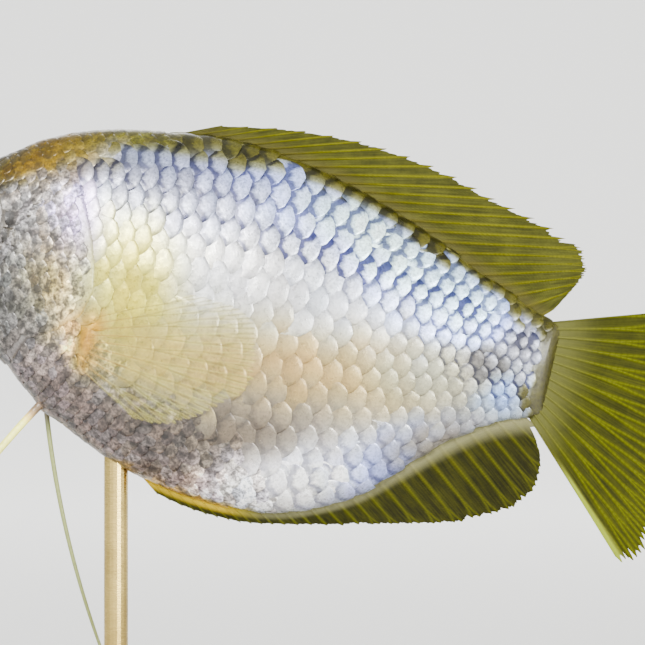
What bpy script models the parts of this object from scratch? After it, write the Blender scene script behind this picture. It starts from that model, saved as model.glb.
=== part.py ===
"""A female dwarf gourami (Trichogaster lalius) as a life-size still model on a plain display stand.

Units are metres and +Z is up. The world origin is the middle of the stand's underside.
The fish is modelled in its own straight frame, with the snout at the origin, +X towards the tail
and +Z towards the back. Its left side is -Y. Its tail is then swung a little to the right,
and the whole fish hangs on one empty that carries its place and its head-up tilt.
"""

import math

import bmesh
import bpy
import numpy as np
from mathutils import Matrix, Vector

# Sizes of the whole fish
MM = 0.001
STANDARD_LENGTH = 0.050
HEAD_UP = math.radians(13.0)
SNOUT_AT = Vector((-0.0271, 0.0, 0.0492))
TAIL_SWING = math.radians(13.0)
SWING_STARTS = 0.45 * STANDARD_LENGTH
SWING_ENDS = 1.25 * STANDARD_LENGTH
GAP = 0.0003

# Outlines as shares of the standard length: distance from the snout, then the value there
BACK = ((0, 0), (0.01, 0.021), (0.03, 0.042), (0.06, 0.067), (0.10, 0.098), (0.144, 0.128),
        (0.21, 0.175), (0.29, 0.206), (0.37, 0.222), (0.47, 0.232), (0.58, 0.226), (0.675, 0.203),
        (0.77, 0.171), (0.90, 0.117), (1.0, 0.078))
BELLY = ((0, 0), (0.01, -0.021), (0.03, -0.042), (0.06, -0.066), (0.13, -0.111), (0.211, -0.165),
         (0.271, -0.208), (0.346, -0.250), (0.42, -0.280), (0.50, -0.298), (0.59, -0.305), (0.65, -0.300),
         (0.71, -0.282), (0.781, -0.241), (0.838, -0.186), (0.895, -0.133), (0.951, -0.094), (1.0, -0.073))
HALF_WIDTH = ((0, 0), (0.02, 0.021), (0.06, 0.040), (0.12, 0.060), (0.20, 0.078), (0.30, 0.093),
              (0.40, 0.099), (0.50, 0.097), (0.60, 0.088), (0.70, 0.071), (0.80, 0.051), (0.90, 0.034), (1.0, 0.020))
WIDEST_LEVEL = ((0, 0), (0.10, 0.0), (0.20, -0.008), (0.35, -0.030), (0.50, -0.045), (0.65, -0.032),
                (0.80, -0.010), (1.0, 0.003))
BACK_SHARPNESS = 1.15
BELLY_SHARPNESS = 0.90
BODY_STATIONS = 38
BODY_SIDES = 36
STATION_CROWDING = 1.7

# Parting lines, seen from the side, in shares of the standard length
COVER_REAR = ((0.278, 0.112), (0.306, 0.060), (0.324, 0.010), (0.333, -0.035), (0.322, -0.074),
              (0.288, -0.103), (0.250, -0.125))
COVER_FRONT = ((0.222, -0.122), (0.198, -0.080), (0.190, -0.025), (0.203, 0.038), (0.236, 0.090))
GILL_ABOVE = ((0.246, 0.30), (0.252, 0.150))
GILL_BELOW = ((0.236, -0.160), (0.232, -0.30))
TAIL_LINE = ((0.640, 0.32), (0.626, 0.06), (0.622, -0.04), (0.632, -0.38))
COVER_THICKNESS = 0.0010
COVER_PROUD = 0.00025
COVER_FROM_MIDDLE = 0.0008
CUTTER_REACH = 0.012

# Eye, nostrils and mouth
EYE_CENTRE = (0.119, 0.032)
EYE_RADIUS = 0.00250
EYE_DEPTH = 0.00135
EYE_PROUD = 0.00080
ORBIT_RIM = 0.00026
NOSTRILS = ((0.036, 0.032, 0.00026), (0.054, 0.052, 0.00022))
MOUTH_TILT = math.radians(-40.0)
MOUTH_REACH = 0.0021
MOUTH_SLIT = 0.00030
LIP_RADIUS = 0.00034
LIP_LIMIT = 0.92
LIP_STEPS = 8
LIP_SIDES = 6
RIM_STEPS = 20
RIM_SIDES = 5

# Fins. An edge is an outline in shares of the standard length, a lean is the way of the rays in degrees
# and a reach is their length in millimetres, the last two against the share along the fin's base
FIN_WEB = 0.00050
FIN_WEB_EDGE = 0.00036
RAY_ROOT = 0.00095
RAY_EDGE = 0.00046
DORSAL_BASE = (0.384, 0.984)
DORSAL_SPINES = 16
DORSAL_SOFT = 8
DORSAL_LEAN = ((0, 24), (0.15, 20), (0.30, 15), (0.50, 10), (0.68, 10), (0.82, 15), (0.93, 26), (1, 42))
DORSAL_EDGE = ((0.36, 0.227), (0.44, 0.246), (0.50, 0.257), (0.56, 0.267), (0.62, 0.272), (0.68, 0.272),
               (0.74, 0.267), (0.80, 0.257), (0.88, 0.236), (0.95, 0.218), (1.00, 0.200), (1.028, 0.182),
               (1.035, 0.160), (1.020, 0.125), (1.000, 0.090))
ANAL_BASE = (0.446, 0.990)
ANAL_SPINES = 17
ANAL_SOFT = 13
ANAL_LEAN = ((0, -36), (0.30, -32), (0.55, -34), (0.75, -38), (0.88, -38), (0.95, -34), (1, -28))
ANAL_EDGE = ((0.43, -0.288), (0.47, -0.304), (0.52, -0.317), (0.585, -0.323), (0.64, -0.319), (0.73, -0.300),
             (0.83, -0.276), (0.925, -0.250), (0.99, -0.222), (1.027, -0.188), (1.037, -0.145),
             (1.022, -0.108), (1.005, -0.085))
CAUDAL_RAYS = 14
CAUDAL_LEAN = ((0, 18), (0.5, -13), (1, -45))
CAUDAL_REACH = ((0, 12.8), (0.12, 13.4), (0.5, 12.9), (0.88, 13.3), (1, 13.1))
PECTORAL_RAYS = 10
PECTORAL_BASE = (0.340, -0.078, -0.144)
PECTORAL_LEAN = ((0, 26), (0.5, 2), (1, -30))
PECTORAL_REACH = ((0, 8.0), (0.2, 12.4), (0.45, 13.2), (0.75, 10.4), (1, 6.0))
PECTORAL_TURN = 0.0009
PECTORAL_FLARE = math.radians(12.0)
# How far the membrane stays behind the tips of spines and of soft rays, and the ray's width, the spread of
# its branches from it and where along it they part, as shares of its length or of the space between rays
SPINE_NOTCH = 0.05
RAY_NOTCH = 0.02
RAY_WIDTH = 0.36
BRANCH_SPREAD = 0.25
FORK_START = 0.30
FORK_END = 0.60

# Pelvic threads: length, the way they point at root and tip below straight ahead, and their spread
PELVIC_AT = 0.290
PELVIC_SPREAD = 0.0010
THREAD_RADIUS = 0.00031
THREAD_TIP = 0.00012
THREADS = {"left": (0.0300, 59.0, 84.0, 0.06), "right": (0.0290, 108.0, 130.0, 0.10)}
THREAD_STEPS = 14
THREAD_SIDES = 8

# Stand
BASE_SIZE = (0.058, 0.030, 0.004)
BASE_CORNER = 0.004
BASE_CHAMFER = 0.0007
ROD_RADIUS = 0.0009
ROD_X = -0.0100
ROD_IN_BASE = 0.0020
ROD_IN_BELLY = 0.0026
ROD_SIDES = 20


def through(knots, scale=1.0, bend=1.0):
    """A smooth curve through the knots that keeps their rises and falls. bend 0.5 rounds its start."""
    xs = np.array([k[0] for k in knots], float) ** bend
    ys = np.array([k[1] for k in knots], float) * scale
    steps = np.diff(xs)
    slopes = np.diff(ys) / steps
    tangents = np.concatenate([slopes[:1], (slopes[1:] + slopes[:-1]) / 2, slopes[-1:]])
    for i in range(1, len(xs) - 1):
        if slopes[i - 1] * slopes[i] <= 0:
            tangents[i] = 0.0
        else:
            limit = 3 * min(abs(slopes[i - 1]), abs(slopes[i]))
            tangents[i] = math.copysign(min(abs(tangents[i]), limit), tangents[i])

    def value(x):
        x = min(max(x, 0.0) ** bend, xs[-1])
        i = int(np.clip(np.searchsorted(xs, x) - 1, 0, len(steps) - 1))
        h, t = steps[i], (x - xs[i]) / steps[i]
        return ((2 * t**3 - 3 * t**2 + 1) * ys[i] + (t**3 - 2 * t**2 + t) * h * tangents[i]
                + (3 * t**2 - 2 * t**3) * ys[i + 1] + (t**3 - t**2) * h * tangents[i + 1])

    return value


back_at = through(BACK, STANDARD_LENGTH, 0.5)
belly_at = through(BELLY, STANDARD_LENGTH, 0.5)
width_at = through(HALF_WIDTH, STANDARD_LENGTH, 0.5)
level_at = through(WIDEST_LEVEL, STANDARD_LENGTH)


def section(x, inset=0.0):
    """Half width, widest level, and rise and drop from it, of the body at a distance from the snout."""
    share = x / STANDARD_LENGTH
    level = level_at(share)
    least = 0.05 * MM
    return (max(width_at(share) - inset, least), level, max(back_at(share) - inset - level, least),
            max(level - belly_at(share) - inset, least))


def body_point(x, turn, inset=0.0):
    """A point on the straight body's surface. turn 0 is the left flank and a quarter turn is the back."""
    width, level, rise, drop = section(x, inset)
    high = math.sin(turn) >= 0
    sharp = BACK_SHARPNESS if high else BELLY_SHARPNESS
    out = math.copysign(abs(math.cos(turn)) ** sharp, math.cos(turn))
    return Vector((x, -width * out, level + (rise if high else drop) * math.sin(turn)))


def flank_at(x, z):
    """Half width of the body at one height."""
    width, level, rise, drop = section(x)
    share = (z - level) / (rise if z > level else drop)
    sharp = BACK_SHARPNESS if z > level else BELLY_SHARPNESS
    return width * max(1 - share * share, 0.0) ** (sharp / 2)


def swing(point):
    """Bends a point of the straight fish, so that the tail curves to the fish's right."""
    span = SWING_ENDS - SWING_STARTS
    along = max(point[0] - SWING_STARTS, 0.0) / span
    heading = TAIL_SWING * along**2
    drift = TAIL_SWING * span * along**3 / 3
    return Vector((point[0] - point[1] * math.sin(heading), point[1] * math.cos(heading) + drift, point[2]))


def new_object(name, points, faces, parent=None):
    mesh = bpy.data.meshes.new(name)
    mesh.from_pydata([tuple(p) for p in points], [], faces)
    mesh.update()
    made = bpy.data.objects.new(name, mesh)
    bpy.context.scene.collection.objects.link(made)
    made.parent = parent
    return made


def face_out(obj):
    """Turns every face outwards and splits them all into triangles."""
    bm = bmesh.new()
    bm.from_mesh(obj.data)
    bmesh.ops.remove_doubles(bm, verts=bm.verts, dist=1e-7)
    bmesh.ops.triangulate(bm, faces=bm.faces)
    bmesh.ops.recalc_face_normals(bm, faces=bm.faces)
    bm.to_mesh(obj.data)
    bm.free()
    return obj


def combine(target, tools, operation):
    """Applies one Boolean with a collection of tools to the target, then removes the tools."""
    group = bpy.data.collections.new("tools")
    bpy.context.scene.collection.children.link(group)
    for tool in tools:
        bpy.context.scene.collection.objects.unlink(tool)
        group.objects.link(tool)
    boolean = target.modifiers.new("combine", "BOOLEAN")
    boolean.operation = operation
    boolean.solver = "EXACT"
    boolean.operand_type = "COLLECTION"
    boolean.collection = group
    bpy.context.view_layer.update()
    graph = bpy.context.evaluated_depsgraph_get()
    joined = bpy.data.meshes.new_from_object(target.evaluated_get(graph))
    target.modifiers.clear()
    target.data = joined
    for tool in tools:
        bpy.data.objects.remove(tool)
    bpy.data.collections.remove(group)
    return keep_largest(target)


def keep_largest(obj):
    """Leaves only the closed surface that encloses most."""
    bm = bmesh.new()
    bm.from_mesh(obj.data)
    bmesh.ops.triangulate(bm, faces=bm.faces)
    bmesh.ops.remove_doubles(bm, verts=bm.verts, dist=2e-7)
    bmesh.ops.dissolve_degenerate(bm, edges=bm.edges, dist=1e-7)
    left, shells = set(bm.faces), []
    while left:
        shell, edge = set(), [left.pop()]
        while edge:
            face = edge.pop()
            shell.add(face)
            near = {f for e in face.edges for f in e.link_faces} & left
            left -= near
            edge.extend(near)
        volume = sum(f.verts[0].co.dot(f.verts[1].co.cross(f.verts[2].co)) for f in shell) / 6
        shells.append((abs(volume), shell))
    largest = max(shells, key=lambda s: s[0])[1]
    bmesh.ops.delete(bm, geom=[f for f in bm.faces if f not in largest], context="FACES")
    bm.to_mesh(obj.data)
    bm.free()
    return obj


def finish(obj, material):
    """Gives a node its material and smooth shading with crisp edges."""
    obj.data.materials.clear()
    obj.data.materials.append(material)
    obj.data.shade_smooth()
    obj.data.set_sharp_from_angle(angle=math.radians(40))
    return obj


def paint(name, colour, roughness, metallic=0.0):
    material = bpy.data.materials.new(name)
    material.use_nodes = True
    shader = material.node_tree.nodes["Principled BSDF"]
    shader.inputs["Base Color"].default_value = (*colour, 1.0)
    shader.inputs["Roughness"].default_value = roughness
    shader.inputs["Metallic"].default_value = metallic
    return material


def body_loft(name, fish, inset=0.0):
    """The whole body, snout to tail root, as one closed surface of rings."""
    shares = [(i / BODY_STATIONS) ** STATION_CROWDING for i in range(1, BODY_STATIONS + 1)]
    stations = [STANDARD_LENGTH * share for share in shares]
    points = [swing((inset, 0.0, 0.0))]
    for x in stations:
        points += [swing(body_point(x, 2 * math.pi * j / BODY_SIDES, inset)) for j in range(BODY_SIDES)]
    points.append(swing((STANDARD_LENGTH, 0.0, level_at(1.0))))
    last = len(points) - 1
    faces = [(0, 1 + (j + 1) % BODY_SIDES, 1 + j) for j in range(BODY_SIDES)]
    for i in range(len(stations) - 1):
        for j in range(BODY_SIDES):
            a, b = 1 + i * BODY_SIDES + j, 1 + i * BODY_SIDES + (j + 1) % BODY_SIDES
            faces.append((a, b, b + BODY_SIDES, a + BODY_SIDES))
    tail = last - BODY_SIDES
    faces += [(last, tail + j, tail + (j + 1) % BODY_SIDES) for j in range(BODY_SIDES)]
    return face_out(new_object(name, points, faces, fish))


def prism(name, fish, outline, near, far):
    """A block with an outline seen from the side, from one distance off the middle plane to another."""
    count = len(outline)
    points = [(x, y, z) for y in (near, far) for x, z in outline]
    faces = [tuple(range(count)), tuple(range(2 * count - 1, count - 1, -1))]
    faces += [(i, (i + 1) % count, count + (i + 1) % count, count + i) for i in range(count)]
    return face_out(new_object(name, points, faces, fish))


def rounded(knots, steps=3):
    """A rounded line through the knots, with more points."""
    ends = [knots[0], *knots, knots[-1]]
    points = []
    for a, b, c, d in (np.array(ends[i:i + 4], float) for i in range(len(knots) - 1)):
        for t in np.arange(steps) / steps:
            points.append((2 * b + (c - a) * t + (2 * a - 5 * b + 4 * c - d) * t**2
                           + (3 * b - a - 3 * c + d) * t**3) / 2)
    return [tuple(point) for point in points] + [knots[-1]]


def line(knots):
    """A parting line in metres."""
    return [(x * STANDARD_LENGTH, z * STANDARD_LENGTH) for x, z in knots]


def tube(name, path, radii, sides, parent=None):
    """A closed round bar along a path, with flat ends."""
    points, faces = [], []
    along = (path[1] - path[0]).normalized()
    side = along.orthogonal().normalized()
    for i, centre in enumerate(path):
        ahead = path[min(i + 1, len(path) - 1)] - path[max(i - 1, 0)]
        side = (side - ahead * side.dot(ahead) / ahead.length_squared).normalized()
        up = ahead.cross(side).normalized()
        for j in range(sides):
            turn = 2 * math.pi * j / sides
            points.append(centre + radii[i] * (math.cos(turn) * side + math.sin(turn) * up))
    for i in range(len(path) - 1):
        for j in range(sides):
            a, b = i * sides + j, i * sides + (j + 1) % sides
            faces.append((a, b, b + sides, a + sides))
    faces += [tuple(range(sides)), tuple(range(len(points) - 1, len(points) - sides - 1, -1))]
    return face_out(new_object(name, points, faces, parent))


def ball(name, centre, radii, rings, sides, parent=None, axis=Vector((0.0, 1.0, 0.0))):
    """A closed ellipsoid whose second radius lies along the axis."""
    turn = Vector((0.0, math.copysign(1.0, axis[1]), 0.0)).rotation_difference(axis)
    bm = bmesh.new()
    bmesh.ops.create_uvsphere(bm, u_segments=sides, v_segments=rings, radius=1.0)
    bmesh.ops.rotate(bm, verts=bm.verts, matrix=Matrix.Rotation(math.pi / 2, 3, "X"))
    points = [Vector(centre) + turn @ Vector(v.co[k] * radii[k] for k in range(3)) for v in bm.verts]
    faces = [tuple(v.index for v in f.verts) for f in bm.faces]
    bm.free()
    return face_out(new_object(name, points, faces, parent))


def flank_normal(x, z, side):
    """The way out of the flank at one place."""
    step = 0.2 * MM
    along = (flank_at(x + step, z) - flank_at(x - step, z)) / (2 * step)
    up = (flank_at(x, z + step) - flank_at(x, z - step)) / (2 * step)
    return Vector((-along, side, -up)).normalized()


def lip(name, drop, fish):
    """A roll of flesh along the mouth, from the left corner round the snout to the right one."""
    half = []
    for i in range(1, LIP_STEPS + 1):
        share = (i / LIP_STEPS) ** 1.6
        x = MOUTH_REACH * share
        _width, level, rise, fall = section(x)
        z = x * math.tan(MOUTH_TILT) + drop * (1 - 0.5 * share)
        z = min(max(z, level - LIP_LIMIT * fall), level + LIP_LIMIT * rise)
        out = flank_at(x, z) - 0.5 * LIP_RADIUS * share
        half.append((Vector((x, out, z)), LIP_RADIUS * (1 - 0.75 * share)))
    left = [(Vector((at[0], -at[1], at[2])), radius) for at, radius in reversed(half)]
    path, radii = zip(*left, *half)
    return tube(name, path, radii, LIP_SIDES, fish)


def head_features(head, fish):
    """Adds the lips and orbit rims to the head, then cuts the mouth, nostrils and eye sockets."""
    added = []
    for name, drop in (("lip_upper", 0.9 * LIP_RADIUS), ("lip_lower", -1.1 * LIP_RADIUS)):
        added.append(lip(name, drop, fish))
    for side in (-1, 1):
        added.append(orbit_rim(side, fish))
    combine(head, added, "UNION")
    cutters = [mouth_cutter(fish)]
    for side in (-1, 1):
        cutters.append(eye_ball("socket", side, fish, GAP, 10, 20))
        for x, z, radius in NOSTRILS:
            at = (x * STANDARD_LENGTH, z * STANDARD_LENGTH)
            centre = (at[0], side * flank_at(*at), at[1])
            cutters.append(ball("nostril", centre, (radius,) * 3, 4, 8, fish))
    return combine(head, cutters, "DIFFERENCE")


def mouth_cutter(fish):
    """A thin blade that opens the mouth back to its corners."""
    blade = [(-1.0, 0.5), (MOUTH_REACH / MM * 1.1, 0.5), (MOUTH_REACH / MM * 1.1, -0.5), (-1.0, -0.5)]
    outline = []
    for along, up in blade:
        flat = Vector((along * MM, up * MOUTH_SLIT))
        outline.append((flat[0] * math.cos(MOUTH_TILT) - flat[1] * math.sin(MOUTH_TILT),
                        flat[0] * math.sin(MOUTH_TILT) + flat[1] * math.cos(MOUTH_TILT)))
    return prism("mouth", fish, outline, -CUTTER_REACH, CUTTER_REACH)


def eye_place(side):
    """The middle of an eyeball, and the way that it looks."""
    x, z = line([EYE_CENTRE])[0]
    look = flank_normal(x, z, side)
    return Vector((x, side * flank_at(x, z), z)) + look * (EYE_PROUD - EYE_DEPTH), look


def eye_ball(name, side, fish, grow, rings, sides):
    centre, look = eye_place(side)
    radii = (EYE_RADIUS + grow, EYE_DEPTH + grow, EYE_RADIUS + grow)
    return ball(name, centre, radii, rings, sides, fish, look)


def orbit_rim(side, fish):
    """A low ring of skin on the head's surface round the eye."""
    centre, look = eye_place(side)
    ring = EYE_RADIUS + GAP
    path = []
    for i in range(RIM_STEPS):
        turn = 2 * math.pi * i / RIM_STEPS
        x, z = centre[0] + ring * math.cos(turn), centre[2] + ring * math.sin(turn)
        level = side * (centre[1] - ((x - centre[0]) * look[0] + (z - centre[2]) * look[2]) / look[1])
        path.append(Vector((x, side * max(flank_at(x, z) - 0.3 * ORBIT_RIM, level), z)))
    return loop_tube("orbit", path, ORBIT_RIM, RIM_SIDES, fish)


def loop_tube(name, path, radius, sides, parent):
    """A closed ring of round section along a closed path."""
    count, points, faces = len(path), [], []
    middle = sum(path, Vector()) / count
    for i, centre in enumerate(path):
        along = (path[(i + 1) % count] - path[i - 1]).normalized()
        out = (centre - middle).normalized()
        out = (out - along * out.dot(along)).normalized()
        up = along.cross(out)
        for j in range(sides):
            turn = 2 * math.pi * j / sides
            points.append(centre + radius * (math.cos(turn) * out + math.sin(turn) * up))
    for i in range(count):
        for j in range(sides):
            a, b = i * sides + j, i * sides + (j + 1) % sides
            c, d = (i + 1) % count * sides + (j + 1) % sides, (i + 1) % count * sides + j
            faces.append((a, b, c, d))
    return face_out(new_object(name, points, faces, parent))


def grown(outline, amount):
    """The outline moved outwards all round by a distance."""
    points = [Vector(p) for p in outline]
    area = sum(a.cross(b) for a, b in zip(points, points[1:] + points[:1]))
    moved = []
    for i, here in enumerate(points):
        before = (here - points[i - 1]).normalized()
        after = (points[(i + 1) % len(points)] - here).normalized()
        out = Vector((before.y, -before.x)) * math.copysign(1, area)
        mitre = (out + Vector((after.y, -after.x)) * math.copysign(1, area)).normalized()
        moved.append(here + mitre * amount / max(mitre.dot(out), 0.5))
    return [tuple(p) for p in moved]


def cover_outline():
    return line([*reversed(rounded(COVER_FRONT)), *reversed(rounded(COVER_REAR))])


def gill_cover(name, side, fish):
    """The gill cover as a plate that stands a little proud of the flank behind it."""
    plate = body_loft(name, fish, -COVER_PROUD)
    room = prism("room", fish, cover_outline(), side * COVER_FROM_MIDDLE, side * CUTTER_REACH)
    combine(plate, [room], "INTERSECT")
    combine(plate, [body_loft("cover_core", fish, COVER_THICKNESS)], "DIFFERENCE")
    return plate


def cover_pocket(side, fish):
    """The room that a gill cover and its gap take in the head."""
    outline = grown(cover_outline(), GAP)
    pocket = prism("pocket", fish, outline, side * (COVER_FROM_MIDDLE - GAP), side * CUTTER_REACH)
    return combine(pocket, [body_loft("pocket_core", fish, COVER_THICKNESS + GAP)], "DIFFERENCE")


def flesh(fish):
    """Head, gill covers, torso and tail, parted by thin cuts from one body."""
    reach = 1.3 * STANDARD_LENGTH
    deep = 0.3 * STANDARD_LENGTH
    gill = line([*GILL_ABOVE, *rounded(COVER_REAR), *GILL_BELOW])
    behind_gill = [(x + GAP, z) for x, z in gill]
    tail = line(TAIL_LINE)
    behind_tail = [(x + GAP, z) for x, z in tail]
    low, high = -0.5 * STANDARD_LENGTH, 0.5 * STANDARD_LENGTH
    head_room = [(-deep, high), (gill[0][0], high), *gill, (gill[-1][0], low), (-deep, low)]
    torso_room = [(behind_gill[0][0], high), (tail[0][0], high), *tail, (tail[-1][0], low),
                  (behind_gill[-1][0], low), *reversed(behind_gill)]
    tail_room = [(reach, high), (reach, low), (behind_tail[-1][0], low), *reversed(behind_tail),
                 (behind_tail[0][0], high)]
    made = {}
    for name, room in (("head", head_room), ("torso", torso_room), ("tail", tail_room)):
        part = body_loft(name, fish)
        made[name] = combine(part, [prism("room", fish, room, -deep, deep)], "INTERSECT")
    combine(made["head"], [cover_pocket(side, fish) for side in (-1, 1)], "DIFFERENCE")
    head_features(made["head"], fish)
    for side, word in ((-1, "left"), (1, "right")):
        made["gill_cover_" + word] = gill_cover("gill_cover_" + word, side, fish)
    return made


def ray_columns(count, branched):
    """The columns of a fin's surface from its first ray to its last.

    Each has the share of its ray along the base, its shift from the ray at root and edge, and whether it is
    raised there. A ray that branches starts as one crest and goes on as two.
    """
    step = 1 / (count - 1)
    half = RAY_WIDTH / 2
    kinds = [(-half, -half, False, False), (0, 0, True, True), (half, half, False, False)]
    if branched:
        kinds = [(-1.2 * half, -BRANCH_SPREAD - half, False, False), (-half, -BRANCH_SPREAD, False, True),
                 (0, 0, True, False), (half, BRANCH_SPREAD, False, True),
                 (1.2 * half, BRANCH_SPREAD + half, False, False)]
    columns = []
    for i in range(count):
        for at_root, at_edge, root_crest, edge_crest in kinds:
            if 0 <= i * step + at_root * step <= 1 and 0 <= i * step + at_edge * step <= 1:
                columns.append((i * step, at_root * step, at_edge * step, root_crest, edge_crest))
    return columns


def fin(name, parent, base, lean, reach, count, place, rows=5, spines=0, branched=False):
    """A fan of rays from a base line. The rays are ridges in the membrane's own surface.

    base gives the fin-plane point at a share along the base, lean the way of a ray there in degrees, and
    reach its length. place turns a fin-plane point and a distance off it into the fish's frame.
    """
    grid = []
    for ray, at_root, at_edge, root_crest, edge_crest in ray_columns(count, branched):
        column = []
        notch = 0 if edge_crest else SPINE_NOTCH if ray < spines / count else RAY_NOTCH
        for row in range(rows + 1):
            out = row / rows
            fork = min(max((out - FORK_START) / (FORK_END - FORK_START), 0), 1) if branched else out
            share = ray + at_root + (at_edge - at_root) * fork
            at, way, long = base(share), math.radians(lean(share)), reach(share) * (1 - notch)
            flat = Vector((at[0] + long * out * math.cos(way), at[1] + long * out * math.sin(way)))
            web = FIN_WEB if row < rows else FIN_WEB_EDGE
            crest = RAY_ROOT + (RAY_EDGE - RAY_ROOT) * out
            raised = root_crest + (edge_crest - root_crest) * (fork if branched else out)
            thick = web + (crest - web) * raised
            column.append((place(flat, thick / 2, share), place(flat, -thick / 2, share)))
        grid.append(column)
    across, up = len(grid), rows + 1
    points = [pair[face] for face in (0, 1) for column in grid for pair in column]
    shift = across * up
    faces = []
    for i in range(across - 1):
        for j in range(rows):
            a, b = i * up + j, (i + 1) * up + j
            faces += [(a, b, b + 1), (a, b + 1, a + 1)]
            faces += [(a + shift, b + 1 + shift, b + shift), (a + shift, a + 1 + shift, b + 1 + shift)]
    rim = [i * up for i in range(across)] + [(across - 1) * up + j for j in range(1, up)]
    rim += [i * up + rows for i in range(across - 2, -1, -1)] + list(range(rows - 1, 0, -1))
    for a, b in zip(rim, rim[1:] + rim[:1]):
        faces += [(b, a, a + shift), (b, a + shift, b + shift)]
    return face_out(new_object(name, points, faces, parent))


def median(flat, off, _share):
    """Puts a point of a fin on the middle plane into the fish's frame."""
    return swing((flat[0], off, flat[1]))


def to_edge(base, lean, edge):
    """The reach of each ray from the base out to where it meets the fin's edge."""
    outline = [Vector(point) * STANDARD_LENGTH for point in edge]

    def reach(share):
        foot, way = Vector(base(share)), math.radians(lean(share))
        along = Vector((math.cos(way), math.sin(way)))
        for a, b in zip(outline, outline[1:]):
            turn = along.cross(b - a)
            if abs(turn) < 1e-12:
                continue
            far, on = (a - foot).cross(b - a) / turn, (a - foot).cross(along) / turn
            if far > 0 and 0 <= on <= 1:
                return far
        raise ValueError(f"no edge at {share}")

    return reach


def back_fin(name, fish, ends, height, lean, edge, spines, soft):
    """A fin on the middle plane, all along the back or the belly."""
    start, end = (share * STANDARD_LENGTH for share in ends)

    def base(share):
        x = start + (end - start) * share
        return x, height(x / STANDARD_LENGTH)

    lean = through(lean)
    return fin(name, fish, base, lean, to_edge(base, lean, edge), spines + soft, median, 4, spines)


def dorsal_fin(fish):
    return back_fin("dorsal_fin", fish, DORSAL_BASE, lambda x: back_at(x) + GAP, DORSAL_LEAN, DORSAL_EDGE,
                    DORSAL_SPINES, DORSAL_SOFT)


def anal_fin(fish):
    return back_fin("anal_fin", fish, ANAL_BASE, lambda x: belly_at(x) - GAP, ANAL_LEAN, ANAL_EDGE,
                    ANAL_SPINES, ANAL_SOFT)


def caudal_fin(fish):
    top, bottom = 0.95 * back_at(1.0), 0.95 * belly_at(1.0)

    def base(share):
        return STANDARD_LENGTH + GAP, top + (bottom - top) * share

    lean, reach = through(CAUDAL_LEAN), through(CAUDAL_REACH, MM)
    return fin("caudal_fin", fish, base, lean, reach, CAUDAL_RAYS, median, rows=6, branched=True)


def pectoral_fin(name, side, fish):
    """The fin behind a gill cover. It leaves the flank at right angles and turns back along the body."""
    x0, high, low = (share * STANDARD_LENGTH for share in PECTORAL_BASE)
    turn_length = PECTORAL_TURN * (math.pi / 2 - PECTORAL_FLARE)

    def base(v):
        return 0.0, high + (low - high) * v

    def place(flat, off, share):
        bend = min(flat[0], turn_length) / PECTORAL_TURN
        past = max(flat[0] - turn_length, 0.0)
        back = PECTORAL_TURN * (1 - math.cos(bend)) + past * math.sin(bend)
        out = PECTORAL_TURN * math.sin(bend) + past * math.cos(bend)
        foot = flank_at(x0, base(share)[1]) + GAP
        x = x0 + back - off * math.cos(bend)
        return swing((x, side * (foot + out + off * math.sin(bend)), flat[1]))

    return fin(name, fish, base, through(PECTORAL_LEAN), through(PECTORAL_REACH, MM), PECTORAL_RAYS, place)


def pelvic_fin(name, side, fish):
    """One long feeler-like ray that grows from the breast and curves to the way it hangs."""
    length, first, last, spread = THREADS[name.rsplit("_", 1)[1]]
    x = PELVIC_AT * STANDARD_LENGTH
    slope = (belly_at(PELVIC_AT + 0.01) - belly_at(PELVIC_AT - 0.01)) / (0.02 * STANDARD_LENGTH)
    normal = Vector((slope, side * 0.25, -1.0)).normalized()
    width, level, _rise, drop = section(x)
    share = (PELVIC_SPREAD / width) ** (1 / BELLY_SHARPNESS)
    foot = Vector((x, side * PELVIC_SPREAD, level - drop * math.sqrt(1 - share * share)))
    ways = [math.radians(first + (last - first) * (i + 0.5) / THREAD_STEPS) for i in range(THREAD_STEPS)]
    steps = [Vector((-math.cos(way), side * spread, -math.sin(way))).normalized() for way in ways]
    lean = steps[0].angle(normal)
    path = [foot + normal * (GAP + THREAD_RADIUS * math.sin(lean))]
    for step in steps:
        path.append(path[-1] + step * length / THREAD_STEPS)
    shares = [i / THREAD_STEPS for i in range(THREAD_STEPS + 1)]
    radii = [THREAD_RADIUS + (THREAD_TIP - THREAD_RADIUS) * share**3 for share in shares]
    return tube(name, path, radii, THREAD_SIDES, fish)


def stand(torso):
    """A flat base with one upright rod that is let into the base and into the belly."""
    length, width, height = BASE_SIZE
    bm = bmesh.new()
    bmesh.ops.create_cube(bm, size=1.0)
    bmesh.ops.scale(bm, vec=BASE_SIZE, verts=bm.verts)
    bmesh.ops.translate(bm, vec=(0, 0, height / 2), verts=bm.verts)
    upright = [e for e in bm.edges if abs(e.verts[0].co.z - e.verts[1].co.z) > height / 2]
    bmesh.ops.bevel(bm, geom=upright, offset=BASE_CORNER, segments=5, profile=0.5, affect="EDGES")
    top = [e for e in bm.edges if min(v.co.z for v in e.verts) > 0.9 * height]
    bmesh.ops.bevel(bm, geom=top, offset=BASE_CHAMFER, segments=1, profile=0.5, affect="EDGES")
    mesh = bpy.data.meshes.new("stand_base")
    bm.to_mesh(mesh)
    bm.free()
    base = bpy.data.objects.new("stand_base", mesh)
    bpy.context.scene.collection.objects.link(base)
    face_out(base)

    belly = belly_height(ROD_X)
    foot = height - ROD_IN_BASE
    head = belly + ROD_IN_BELLY
    rod = upright_rod("stand_rod", ROD_RADIUS, foot, head)
    combine(base, [upright_rod("base_hole", ROD_RADIUS + GAP, foot - GAP, 2 * height)], "DIFFERENCE")
    combine(torso, [upright_rod("belly_hole", ROD_RADIUS + GAP, height, head + GAP)], "DIFFERENCE")
    return base, rod


def upright_rod(name, radius, low, high):
    return tube(name, [Vector((ROD_X, 0, low)), Vector((ROD_X, 0, high))], [radius, radius], ROD_SIDES)


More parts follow.
